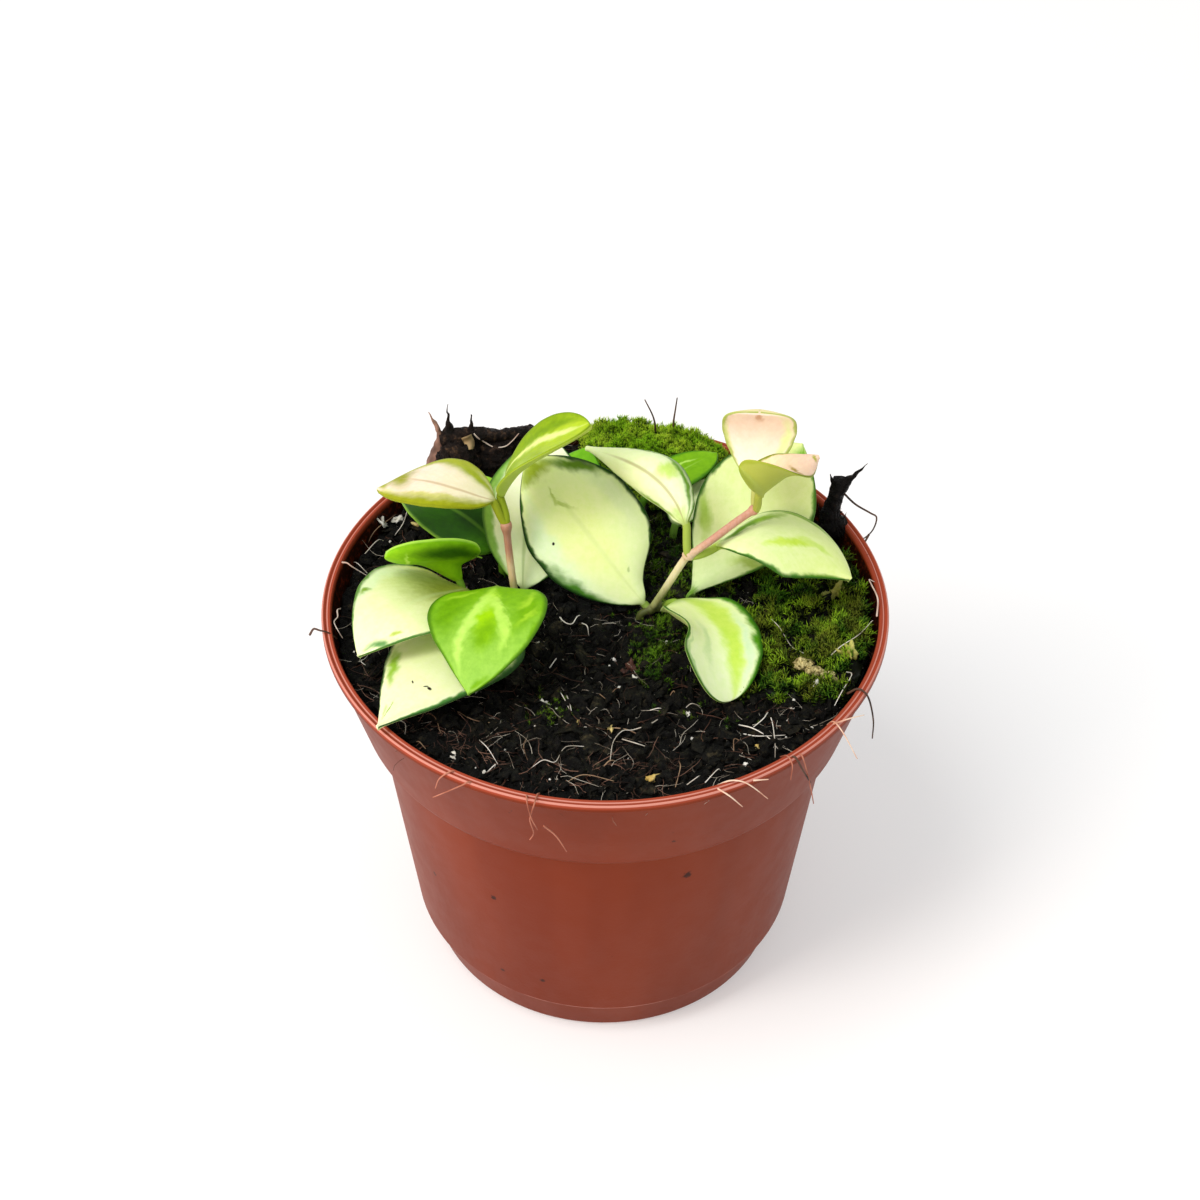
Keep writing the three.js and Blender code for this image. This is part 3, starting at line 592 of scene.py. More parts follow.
def makeLeaf(key, seed):
    form = {**leafCommon, **leafForms[key]}
    curves = bladeCurves(form)
    stalkRings, bladeRings = leafBuild["stalkRings"], leafBuild["bladeRings"]
    rings = stalkRings + bladeRings
    bm = bmesh.new()
    tubeAlong(bm, leafBuild["around"], rings)
    uv = bm.loops.layers.uv.new("blade")
    sections = []
    for ring in range(rings + 1):
        if ring < stalkRings:
            v = ring / stalkRings - 1
        else:
            v = 0.5 - 0.5 * math.cos(math.pi * (ring - stalkRings) / bladeRings)
        sections.append((v, leafSection(form, curves, v, seed)))
    for face in bm.faces:
        for loop in face.loops:
            ring = round(loop.vert.co.z * rings)
            loop[uv].uv = (loop.vert.co.x, sections[ring][0])
    underside = bm.verts.layers.float.new("underside")
    waveSize, grooveWidth = leafBuild["waveSize"], leafBuild["grooveWidth"]
    for v in bm.verts:
        place, (centre, side, normal, half, bend, blade) = sections[round(v.co.z * rings)]
        t, lift = v.co.x, v.co.y
        v[underside] = 1.0 if lift < 0 else 0.0
        turn = bend * t
        flat = abs(bend) < 0.001
        reach = t if flat else math.sin(turn) / bend
        rise = 0 if flat else (1 - math.cos(turn)) / bend
        out = normal * math.cos(turn) - side * math.sin(turn)
        stalkLift = leafBuild["stalkRadius"] * form["slender"] * lift
        lens = leafBuild["edge"] + (leafBuild["middle"] - leafBuild["edge"]) * (1 - t * t)
        thick = math.copysign(abs(lift) ** 0.4, lift) * lens / 2
        if "notch" in form and t * form["notch"][0] > 0:
            # one margin is drawn in near the base
            at, spread, depth = form["notch"][1:]
            reach *= 1 - depth * bell((place - at) / spread)
        spot = centre + side * (half * reach) + normal * (half * rise)
        # shallow waves, a groove over the midrib and a ridge below it
        wave = leafBuild["wave"] * noise.noise(Vector((
            spot.x / waveSize, spot.y / waveSize, spot.z / waveSize + seed)))
        groove = leafBuild["groove"] * bell(t / grooveWidth)
        groove *= smooth(place * 5) * smooth((0.95 - place) * 5)
        relief = (wave - groove) * blade * min(half / 4, 1) * (1 - 0.4 * t * t)
        v.co = spot + out * (mixed(stalkLift, thick, blade) + relief)
        if "funnel" in form:
            # the blade's own tissue narrows into the stalk
            funnel = form["funnel"]
            drawn = bell((place - funnel["at"]) / funnel["spread"]) * smooth((t - 0.15) / 0.85)
            v.co += (Vector(funnel["to"]) - Vector(funnel["rim"])) * drawn
    if "funnel" in form:
        stalk = cordOf(form["funnel"]["stalk"], lambda share: form["funnel"]["radius"], 16, 20)
        marks = stalk.loops.layers.uv["along"]
        blades = stalk.loops.layers.uv.new("blade")
        for face in stalk.faces:
            for loop in face.loops:
                loop[blades].uv = (0, -0.5 * (1 - loop[marks].uv.y))
        stalk.loops.layers.uv.remove(marks)
        added(bm, stalk)
    bmesh.ops.recalc_face_normals(bm, faces=bm.faces)
    return bm


# Leaf colours. The flesh changes from base to tip. Each margin has a tone and a width for the
# side where t is 1 and then the side where t is -1. A rib, where it shows, has its tone, its
# strength and where it runs: t at the base, the drift to the tip and the power of that drift.
# Each patch runs between two places (t, s) on the blade with a half width, where t is across and
# s along the blade.

leafLooks = {
    "a1": {"flesh": ("#F0E8C2", "#F3E2CC"), "under": "#B4C24A", "stalk": "#8E9C24",
           "margins": (("#A6B024", 0.2), ("#98A014", 0.3)), "edge": ("#6F7A12", 0.5),
           "rib": ("#CBB48C", 0.8, -0.36, 1.1, 2.5),
           "patches": [
               (0.4, 0.04, 0.72, 0.36, 0.24, "#A0AE20"), (0.8, 0.3, 0.86, 0.6, 0.14, "#A2AE26"),
               (0, 0.78, 0.9, 0.86, 0.24, "#989E14"), (-0.3, 0.94, 1, 0.95, 0.1, "#A4AC28"),
               (-0.66, 0.25, -0.62, 0.7, 0.08, "#E6E296"), (-1, 0.9, -0.6, 0.87, 0.16, "#DADA8E")]},
    "a2": {"flesh": ("#86A612", "#AECB26"), "under": "#B7CC50", "stalk": "#8A9C22",
           "margins": (("#A6C222", 0.15), ("#7FA010", 0.22)), "edge": ("#6C8A14", 0.6),
           "patches": [
               (-0.7, 0.35, -0.62, 0.85, 0.2, "#73980C"), (0.2, 0.5, 0.9, 0.62, 0.1, "#93B01A"),
               (0, 0.3, 0.8, 0.4, 0.12, "#A8C63C"), (-0.74, 0.1, -0.36, 0.45, 0.05, "#D7E884"),
               (-0.4, 0.42, -0.04, 0.86, 0.12, "#E0EF92")]},
    "a3": {"flesh": ("#DDF0B8", "#F6FCDC"), "under": "#B9D290", "stalk": "#7E9E4A",
           "margins": (("#3E7220", 0.08), ("#7FB044", 0.16)), "edge": ("#24521A", 0.8),
           "rib": ("#9AB870", 0.6, -0.1, 0, 1),
           "patches": [
               (-0.86, 0.15, -0.84, 0.8, 0.1, "#86B84C")]},
    # a4 lies in shade under a1: its dark flesh is painted shade
    "a4": {"flesh": ("#2E6204", "#285604"), "under": "#3F7A12", "stalk": "#4E7A1C",
           "margins": (("#86C01C", 0.16), ("#33680C", 0.08)), "edge": ("#9CC84A", 0.5),
           "rib": ("#6FA02E", 0.4, 0, 0, 1),
           "patches": [
               # first patch: painted light on its lit part; second, darkest: painted shade
               (-0.8, 0.05, 0.2, 0.05, 0.3, "#447C0E"), (0, 0.3, 0.2, 0.5, 0.24, "#1E4602")]},
    "a5": {"flesh": ("#78B410", "#8AC618"), "under": "#82C01A", "stalk": "#6F9B2C",
           "margins": (("#88C41A", 0.2), ("#7EBA14", 0.12)), "edge": ("#B4E060", 0.6),
           "underShare": 0,
           "patches": [
               # dark patch: painted shade in the fold; pale lime streak: painted highlight
               (-0.4, 0.1, -0.4, 0.56, 0.34, "#2C5A06"), (-0.2, 0.8, 0.9, 0.66, 0.05, "#BEE862")]},
    "a6": {"flesh": ("#C9D470", "#F2FCC4"), "under": "#BFD486", "stalk": "#6E8A34",
           "margins": (("#7FA85A", 0.04), ("#5E8E4A", 0.05)), "edge": ("#3A6A1A", 0.7),
           "rib": ("#DDEFAE", 0.2, 0, 0, 1),
           # first patch: olive, painted shade under a5, like the flesh's olive base tone
           "patches": [
               (0, 0, 0.1, 0.16, 0.5, "#8A9636"), (0.84, 0.35, 0.92, 0.85, 0.14, "#DFF2BA"),
               (0.8, 0.63, 0.9, 0.665, 0.05, "#7FA53A"),
               (-0.95, 0.87, -0.45, 0.9, 0.11, "#6B9E5A"),
               (-0.62, 0.78, -0.52, 0.78, 0.05, "#B9CE5A")]},
    "a7": {"flesh": ("#E6F4AC", "#F6FBC8"), "under": "#C6DC90", "stalk": "#7E9A46",
           "margins": (("#5E8E46", 0.05), ("#4E8A3E", 0.08)), "edge": ("#24401A", 0.8),
           "patches": [
               (-0.85, 0.72, -0.6, 0.95, 0.15, "#E6F5BE"),
               (0.82, 0.5, 0.74, 0.66, 0.11, "#98C43C"),
               (0.25, 0.84, 0.05, 0.95, 0.03, "#A6C85A"), (0.5, 0.88, 0.2, 0.93, 0.05, "#CFE69A"),
               (-0.98, 0.6, -0.96, 0.9, 0.07, "#4E7A2E"),
               (-0.4, 0.675, -0.3, 0.668, 0.02, "#2E2015"),
               (-0.27, 0.662, -0.2, 0.67, 0.014, "#2E2015"),
               (0.1, 0.67, 0.15, 0.66, 0.013, "#3A2A1C")]},
    "a8": {"flesh": ("#7AB40A", "#92C648"), "under": "#73AE2C", "stalk": "#7E9E38",
           "margins": (("#6EA80E", 0.08), ("#70AA10", 0.08)), "edge": ("#2F5A10", 0.7),
           "patches": [
               (-0.75, 0.24, -0.6, 0.44, 0.2, "#72AC0A"), (0.62, 0.22, 0.76, 0.5, 0.2, "#6CA40A"),
               (-0.75, 0.9, -0.2, 0.93, 0.08, "#74AE0E"),
               (-0.8, 0.2, -0.55, 0.3, 0.07, "#9CCC2E"),
               (-0.85, 0.36, -0.6, 0.46, 0.05, "#98C82A"),
               (0.5, 0.12, 0.75, 0.2, 0.06, "#94C828"), (0.02, 0.34, 0, 0.5, 0.18, "#9CD408"),
               (-0.06, 0.53, -0.02, 0.6, 0.2, "#78B008"),
               (0.03, 0.1, 0.03, 0.24, 0.13, "#B0E43C"),
               (-0.04, 0.22, -0.26, 0.4, 0.09, "#BEEA60"),
               (-0.26, 0.4, -0.48, 0.64, 0.09, "#B4E25C"), (0.1, 0.2, 0.28, 0.46, 0.1, "#C2EE66"),
               (0.28, 0.46, 0.6, 0.79, 0.1, "#BCE868")]},
    "c1": {"flesh": ("#E6F6B6", "#E8F7AC"), "under": "#BFD68C", "stalk": "#7C9640",
           "margins": (("#3A6620", 0.05), ("#34641E", 0.06)), "edge": ("#12300C", 0.9),
           "rib": ("#CFE092", 0.35, -0.05, 0, 1),
           "patches": [
               (-0.1, 0.3, 0, 0.7, 0.38, "#E6F5A4"), (-0.82, 0.22, -0.74, 0.75, 0.2, "#DEF5C4"),
               (0.75, 0.4, 0.7, 0.72, 0.16, "#E0F0B4"),
               (-0.96, 0.14, -0.92, 0.38, 0.15, "#457A20"),
               (-0.98, 0.55, -0.95, 0.9, 0.05, "#4E8030"),
               (-0.9, 0.95, 0.6, 0.93, 0.12, "#93A92C"),
               (0.86, 0.76, 0.62, 0.86, 0.16, "#5A7E18"),
               (0.92, 0.82, 0.97, 0.93, 0.09, "#1E3A10"),
               (-0.02, 0.66, -0.14, 0.74, 0.04, "#B4CC66"),
               (-0.15, 0.73, -0.1, 0.8, 0.03, "#BACE6C"),
               (0.24, 0.2, 0.27, 0.21, 0.03, "#B9CF86"),
               (-0.6, 0.55, -0.59, 0.552, 0.02, "#14100A")]},
    "c2": {"flesh": ("#4E8A10", "#6FB21E"), "under": "#4E8420", "stalk": "#4E7A1C",
           "margins": (("#3F7A10", 0.1), ("#3F7A10", 0.1)), "edge": ("#2F5A10", 0.6),
           "rib": ("#8CBE40", 0.5, 0, 0, 1),
           "patches": []},
    "b1": {"flesh": ("#E6F4C4", "#E4F2B4"), "under": "#9CB85A", "stalk": "#97AE48",
           "margins": (("#4E7E1E", 0.16), ("#5A8A28", 0.2)), "edge": ("#1F4410", 0.9),
           "rib": ("#A9A070", 0.7, 0.1, -0.2, 1),
           "patches": [
               (0.3, 0.34, 0.62, 0.32, 0.13, "#C4E272"), (-0.3, 0.06, 0.3, 0.05, 0.12, "#C2DC88"),
               (-0.46, 0.06, -0.62, 0.4, 0.08, "#84AE3C"),
               (0.6, 0.06, 0.76, 0.42, 0.08, "#68982E"), (0.7, 0.42, 0.5, 0.8, 0.06, "#7CA83A")]},
    "b3": {"flesh": ("#DFF0B0", "#E2F29C"), "under": "#A6C060", "stalk": "#AFC850",
           "margins": (("#4E8A2A", 0.07), ("#6FA03A", 0.08)), "edge": ("#2A5414", 0.8),
           "patches": [
               (0.42, 0.33, 0.25, 0.48, 0.08, "#CDE96A"),
               (0.25, 0.46, 0.02, 0.64, 0.11, "#C6E450"), (0, 0.64, -0.05, 0.78, 0.07, "#D0EA78"),
               (-0.4, 0.22, -0.6, 0.38, 0.12, "#86B02C"), (0, 0.06, -0.5, 0.24, 0.13, "#568408"),
               (0.95, 0.76, 0.92, 0.92, 0.12, "#5E8E1E"),
               (-0.85, 0.45, -0.8, 0.7, 0.08, "#86B03C")]},
    "b5": {"flesh": ("#D8ECAE", "#E2F0A0"), "under": "#B9D28E", "stalk": "#6F9838",
           "margins": (("#6FA03A", 0.06), ("#4E7A2A", 0.07)), "edge": ("#2F5A1A", 0.8),
           "patches": [
               (-0.6, 0.36, -0.82, 0.46, 0.12, "#ACD05E"),
               (0.5, 0.3, 0.98, 0.34, 0.09, "#B0CC66"), (-0.9, 0.02, 0.9, 0.02, 0.1, "#6A9A2A"),
               (0.2, 0.94, 0.8, 0.95, 0.12, "#7DBB2C")]},
    "b6": {"flesh": ("#FAF5DE", "#F0D8C4"), "under": "#D9D29A", "stalk": "#B4B868",
           "margins": (("#AEBB62", 0.06), ("#A6B658", 0.07)), "edge": ("#A4B060", 0.4),
           "patches": [
               (0.78, 0.25, 0.76, 0.85, 0.14, "#E2ECA8"), (0, 0.94, 0, 1, 0.1, "#D2A888"),
               (-0.9, 0.5, -0.88, 0.8, 0.08, "#CBD488")]},
    "b7": {"flesh": ("#F1E0B0", "#EECDB2"), "under": "#A3B23E", "stalk": "#A9B24C",
           "margins": (("#97A040", 0.06), ("#97A040", 0.06)), "edge": ("#6F7F1E", 0.8),
           "patches": [
               (0.1, 0.58, 0.9, 0.63, 0.06, "#A38A3A"), (-0.1, 0.94, 0.5, 0.94, 0.05, "#A8A84A")]},
    "b8": {"flesh": ("#6FA810", "#7AB214"), "under": "#4E8420", "stalk": "#4E7A1C",
           "margins": (("#4E8A10", 0.12), ("#4E8A10", 0.12)), "edge": ("#2F5A10", 0.6),
           "rib": ("#A6D850", 0.5, 0, 0, 1),
           "patches": [
               (-0.35, 0.5, -0.25, 0.7, 0.06, "#B4E060")]},
    "b9": {"flesh": ("#E2F0B8", "#DFEDAC"), "under": "#B9D28E", "stalk": "#6F9838",
           "margins": (("#8FB85A", 0.1), ("#8FB85A", 0.1)), "edge": ("#3A6A1A", 0.7),
           "patches": []},
    "d1": {"flesh": ("#F0FEB2", "#E8F8BE"), "under": "#B4CC7C", "stalk": "#8CAE40",
           "margins": (("#6E9E3A", 0.05), ("#4E8E12", 0.11)), "edge": ("#24500F", 0.8),
           "patches": [
               (-0.42, 0.1, -0.42, 0.95, 0.19, "#CAEC5A"),
               (-0.4, 0.12, -0.42, 0.3, 0.26, "#CFEC60"),
               (-0.74, 0.35, -0.72, 0.85, 0.1, "#D6EFBE"), (0.2, 0.4, 0.3, 0.7, 0.12, "#D2E8A6"),
               (0.86, 0.6, 0.9, 0.9, 0.05, "#B4D68A")]},
}

# how the markings are drawn: the blade's length over its half width, the slow wander and the
# streaks of their edges, in half widths, the streaks' lean in degrees, and how soft they end.
# Patches thinner than fineHalf are drawn as fine lines. The pairs say where something comes in.
marking = {"stretch": 2.4, "wander": 0.13, "wanderSize": 3.2, "streak": 0.05, "streakLean": 52,
           "streakLength": 0.9, "streakWidth": 0.1, "softness": 0.7, "mottle": (1.5, 0.43, 0.57),
           "fineHalf": 0.025, "edgeLine": (0.9, 0.985), "ribHalf": (0.07, 0.01),
           "ribFades": (0.9, 0.55), "stalkBlend": (0.06, -0.02)}


def leafSkin(key, seed):
    # waxy succulent leaf: satin, a little translucent, with soft sectors of green and cream
    look = leafLooks[key]
    material, tree = newMaterial("waxyLeaf_" + key)
    place = node(tree, "TexCoord", out="Object")
    uv = node(tree, "UVMap", uv_map="blade")
    across = node(tree, "SeparateXYZ", (uv,), "X")
    along = node(tree, "SeparateXYZ", (uv,), "Y")
    blade = node(tree, "VectorMath", (uv, (1, marking["stretch"], 0)), operation="MULTIPLY")
    # the markings' edges wander slowly and feather a little along the side veins
    wander = node(tree, "TexNoise", {"Vector": place, "Scale": 1 / (marking["wanderSize"] * mm),
                                     "Detail": 2.5}, "Color")
    wander = node(tree, "VectorMath", (wander, (0.5, 0.5, 0.5)), operation="SUBTRACT")
    wander = node(tree, "VectorMath", {0: wander, "Scale": marking["wander"] * 2},
                  operation="SCALE")
    folded = node(tree, "VectorMath", (blade,), operation="ABSOLUTE")
    veins = node(tree, "Mapping", {
        "Vector": folded, "Location": (seed * 3.1, seed * 1.7, 0),
        "Rotation": (0, 0, math.radians(marking["streakLean"])),
        "Scale": (marking["streakLength"], marking["streakWidth"], 1)}, vector_type="TEXTURE")
    streak = node(tree, "TexNoise", {"Vector": veins, "Scale": 1.0, "Detail": 2.5,
                                     "Roughness": 0.6})
    push = node(tree, "MapRange", (streak, 0, 1, -marking["streak"], marking["streak"]))
    spot = node(tree, "VectorMath", (blade, wander), operation="ADD")
    spot = node(tree, "VectorMath", (spot, node(tree, "CombineXYZ", (push, push))),
                operation="ADD")
    spotAcross = node(tree, "SeparateXYZ", (spot,), "X")
    spotAlong = node(tree, "SeparateXYZ", (spot,), "Y")
    reach = node(tree, "MapRange", (spotAlong, 0.1, 0.9 * marking["stretch"]), **softStep)
    color = node(tree, "Mix", {0: reach, 6: linear(look["flesh"][0]),
                               7: linear(look["flesh"][1])}, **colorMix)
    soft, edge = marking["softness"], marking["edgeLine"]
    # the patches are the leaf's markings, and on a4, a5 and a6 also painted shade and highlights
    for t0, s0, t1, s1, half, tone in look["patches"]:
        start = Vector((t0, s0 * marking["stretch"], 0))
        end = Vector((t1, s1 * marking["stretch"], 0))
        run = end - start
        fine = half < marking["fineHalf"]
        local = node(tree, "Mapping", {
            "Vector": blade if fine else spot, "Location": (start + end) / 2,
            "Rotation": (0, 0, math.atan2(run.y, run.x)),
            "Scale": (run.length / 2 + half, half, 1)}, vector_type="TEXTURE")
        gap = node(tree, "VectorMath", (local,), "Value", operation="LENGTH")
        far, near = (1.3, 0.6) if fine else (1 + soft, 1 - soft)
        share = node(tree, "MapRange", (gap, far, near), **softStep)
        color = node(tree, "Mix", {0: share, 6: color, 7: linear(tone)}, **colorMix)
    for sign, (tone, width) in zip((1, -1), look["margins"]):
        outward = node(tree, "Math", (spotAcross, sign), operation="MULTIPLY")
        share = node(tree, "MapRange", (outward, 1 - width * 1.9, 1 - width * 0.4), **softStep)
        color = node(tree, "Mix", {0: share, 6: color, 7: linear(tone)}, **colorMix)
    # lighter and darker mottling in the flesh, and faint side veins
    size, low, high = marking["mottle"]
    tint = patchy(tree, place, size, 0.3, 0.7, low, high, 5, 0.65)
    vein = node(tree, "MapRange", (streak, 0.3, 0.7, -0.035, 0.035))
    tint = node(tree, "Math", (tint, vein), operation="ADD")
    tint = node(tree, "CombineColor", (tint, tint, tint))
    color = node(tree, "Mix", {0: 1.0, 6: color, 7: tint}, blend_type="SOFT_LIGHT", **colorMix)
    # the thin line at the very edge, and the midrib
    outermost = node(tree, "Math", (across,), operation="ABSOLUTE")
    edgeTone, edgeShare = look["edge"]
    share = node(tree, "MapRange", (outermost, *edge, 0, edgeShare), **softStep)
    color = node(tree, "Mix", {0: share, 6: color, 7: linear(edgeTone)}, **colorMix)
    if "rib" in look:
        ribTone, ribShare, ribStart, ribDrift, ribPower = look["rib"]
        drift = node(tree, "Math", (along, ribPower), operation="POWER")
        drift = node(tree, "MapRange", (drift, 0, 1, ribStart, ribStart + ribDrift))
        aside = node(tree, "Math", (across, drift), operation="SUBTRACT")
        aside = node(tree, "Math", (aside,), operation="ABSOLUTE")
        rib = node(tree, "MapRange", (aside, *marking["ribHalf"], 0, ribShare), **softStep)
        fading = node(tree, "MapRange", (along, *marking["ribFades"]), **softStep)
        rib = node(tree, "Math", (rib, fading), operation="MULTIPLY")
        color = node(tree, "Mix", {0: rib, 6: color, 7: linear(ribTone)}, **colorMix)
    # the underside is duller, and the stalk has its own colour
    below = node(tree, "Attribute", out="Fac", attribute_name="underside")
    share = node(tree, "MapRange", (below, 0.3, 0.7, 0, look.get("underShare", 0.9)), **softStep)
    color = node(tree, "Mix", {0: share, 6: color, 7: linear(look["under"])}, **colorMix)
    share = node(tree, "MapRange", (along, *marking["stalkBlend"]), **softStep)
    color = node(tree, "Mix", {0: share, 6: color, 7: linear(look["stalk"])}, **colorMix)
    coarse = patchy(tree, place, 2.4)
    height = node(tree, "Math", (coarse, 1.6, patchy(tree, place, 0.5)), operation="MULTIPLY_ADD")
    bump = node(tree, "Bump", {"Strength": 0.1, "Distance": 0.15 * mm, "Height": height})
    shader = node(tree, "BsdfPrincipled", {
        "Base Color": color, "Roughness": patchy(tree, place, 3, 0.3, 0.7, 0.38, 0.5),
        "IOR": 1.45, "Normal": bump, "Specular IOR Level": 0.1, "Subsurface Weight": 0.1,
        "Subsurface Radius": (0.0016, 0.0018, 0.0005), "Subsurface Scale": 1.0})
    node(tree, "OutputMaterial", (shader,))
    return material


for seed, key in enumerate(leafForms):
    finishPiece(makeLeaf(key, seed), "leaf_" + key + "_skin", [leafSkin(key, seed)],
                ["leaf_" + key])
print("leaves made")


# Stems: smooth young bark over the runs that the solids have, with swollen nodes

# the tones go up the stem, each mixed in between two heights
stemLook = {"radius": 0.8, "knots": 0.06, "swellReach": 0.05, "around": 20, "rings": 60,
            "grain": "#8F7A52",
            "stem_left": {"name": "youngStemPink", "tones": ("#9CA060", "#DCC99C", "#B98C76"),
                          "heights": ((95, 99), (100, 105))},
            "stem_right": {"name": "youngStemTan",
                           "tones": ("#4E5628", "#A2A66C", "#E4DDB4", "#C99A86"),
                           "heights": ((92.4, 94.5), (96, 102), (105, 112))}}

# each run is a curve, and its nodes are swollen: where along it and by how much
stemRuns = {
    "stem_left": [
        {"points": [(-18.7, 1.2, 82), (-18.8, 1.3, 89.5), (-19.6, 3, 96), (-20.4, 4.5, 104),
                    (-20.9, 5.4, 111)], "swell": [(0.97, 0.45)]},
        {"points": [(-18.7, 1.2, 90.5), (-20, -2, 91.8), (-23.5, -3, 92.1), (-27.5, -1.5, 92.7),
                    (-30, 0.6, 93.4)], "swell": [(0.55, 0.4), (0.98, 0.35)]},
    ],
    "stem_right": [
        {"points": [(7.2, -1.3, 82), (7.3, -1.3, 90.4), (9.4, -0.8, 92.2), (12.4, 0.4, 92),
                    (14.3, 2, 90.2), (14.5, 2.2, 82)], "swell": [(0.42, 0.3), (0.58, 0.3)]},
        {"points": [(9.6, -0.7, 91.8), (12.5, -0.8, 98), (15.6, -1, 105), (17.1, -1.1, 108)],
         "swell": [(0.97, 0.4)]},
        {"points": [(17.1, -1.1, 107.6), (21.5, 0.4, 110.4), (27, 3, 113.6), (31, 4.9, 115.6)],
         "swell": [(0.02, 0.35), (0.97, 0.35)]},
    ],
}


def stemSkin(name, tones, heights):
    # young vine bark: smooth, satin, pink where it is new, then cream, and tan green low down
    material, tree = newMaterial(name)
    place = node(tree, "TexCoord", out="Object")
    height = node(tree, "SeparateXYZ", (place,), "Z")
    color = linear(tones[0])
    for tone, (low, high) in zip(tones[1:], heights):
        reach = node(tree, "MapRange", (height, low * mm, high * mm), **softStep)
        color = node(tree, "Mix", {0: reach, 6: color, 7: linear(tone)}, **colorMix)
    grained = node(tree, "Mapping", {"Vector": place, "Scale": (1, 1, 0.15)})
    color = node(tree, "Mix", {0: patchy(tree, grained, 0.5, 0.35, 0.7, 0, 0.45, 3), 6: color,
                               7: linear(stemLook["grain"])}, blend_type="SOFT_LIGHT", **colorMix)
    bump = node(tree, "Bump", {"Strength": 0.2, "Distance": 0.2 * mm,
                               "Height": patchy(tree, grained, 0.4, detail=3)})
    shader = node(tree, "BsdfPrincipled", {
        "Base Color": color, "Roughness": 0.5, "IOR": 1.45, "Normal": bump,
        "Specular IOR Level": 0.3, "Subsurface Weight": 0.1,
        "Subsurface Radius": (0.001, 0.0008, 0.0004), "Subsurface Scale": 1.0})
    node(tree, "OutputMaterial", (shader,))
    return material


def makeStems():
    around, rings, reach = stemLook["around"], stemLook["rings"], stemLook["swellReach"]
    skins = {name: stemSkin(**stemLook[name]) for name in stemRuns}
    for name, runs in stemRuns.items():
        whole = bmesh.new()
        for run in runs:
            def radiusAt(share, run=run):
                swollen = sum(much * bell((share - at) / reach) for at, much in run["swell"])
                knots = noise.noise(Vector((share * 30, len(run["points"]), 0)))
                return stemLook["radius"] + swollen + stemLook["knots"] * knots
            added(whole, cordOf(run["points"], radiusAt, around, rings))
        finishPiece(whole, name + "_bark", [skins[name]], [name])


makeStems()
print("stems made")


# Soil: damp black peat. Its body follows the pot, and crumbs, fibres and roots lie on it.

# millimetres, and for the clods their height, width and seed
peat = {"gridSteps": 150, "level": 90, "wallGap": 0.6, "roughness": 0.75, "roughWithin": 57,
        "clods": [(0.55, 2.1, 4), (0.4, 0.9, 9)], "seed": 11}

# stones on the peat: how many, sizes, how flat, how high they lie in their sizes, tones and the
# size of their patches
peatStones = {
    "peatCrumbs": {"steps": 1, "count": 5200, "sizes": (0.32, 1.4), "flat": 0.75, "rise": 0.25,
                   "tones": ("#020202", "#0A0A06", "#322E1D"), "patch": 1.1},
    "peatLumps": {"steps": 2, "count": 460, "sizes": (0.9, 2.3), "flat": 0.62, "rise": 0.15,
                  "tones": ("#020202", "#0B0B07", "#342E1E"), "patch": 1.5},
    "peatFlakes": {"steps": 1, "count": 420, "sizes": (0.8, 2.4), "flat": 0.16, "rise": 0.35,
                   "tones": ("#050504", "#17150D", "#4C4430"), "patch": 2.2},
}

# fibres on the peat: those with an arc are a tangle along that part of the rim, in radians
peatFibres = {
    "darkFibres": {"count": 900, "tones": ("#2A1C14", "#6A4838"), "thick": (0.6, 1.1)},
    "paleFibres": {"count": 900, "tones": ("#7E7160", "#D8D2C2"), "thick": (0.34, 0.62)},
    "rimFibres": {"count": 260, "tones": ("#3A241C", "#94705E"), "thick": (0.5, 0.9),
                  "arc": (-2.75, -1.25), "reach": (46, 54)},
}


def peatSkin(name, dark, mid, light, size):
    # damp peat: nearly black and matt, with browner dry flecks
    material, tree = newMaterial(name)
    place = node(tree, "TexCoord", out="Object")
    tone = node(tree, "TexNoise", {"Vector": place, "Scale": 1 / (size * mm), "Detail": 4,
                                   "Roughness": 0.7})
    color = node(tree, "ValToRGB", (tone,), stops=[
        (0.38, linear(dark)), (0.56, linear(mid)), (0.74, linear(light))])
    bump = node(tree, "Bump", {"Strength": 0.8, "Distance": 0.5 * mm,
                               "Height": patchy(tree, place, 0.45, detail=4, rough=0.7)})
    shader = node(tree, "BsdfPrincipled", {
        "Base Color": color, "Roughness": patchy(tree, place, 0.9, 0.35, 0.65, 0.3, 0.85),
        "IOR": 1.4, "Normal": bump, "Specular IOR Level": 0.24})
    node(tree, "OutputMaterial", (shader,))
    return material


def soilRim(z):
    return collarInside(z) - peat["wallGap"]


soilReach = soilRim(peat["level"])


def roughTop(x, y):
    far = math.hypot(x, y)
    fine = sum(high * noise.noise(Vector((x / wide, y / wide, seed)))
               for high, wide, seed in peat["clods"])
    return soilTop(x, y) + peat["roughness"] * fine * smooth((peat["roughWithin"] - far) / 2)


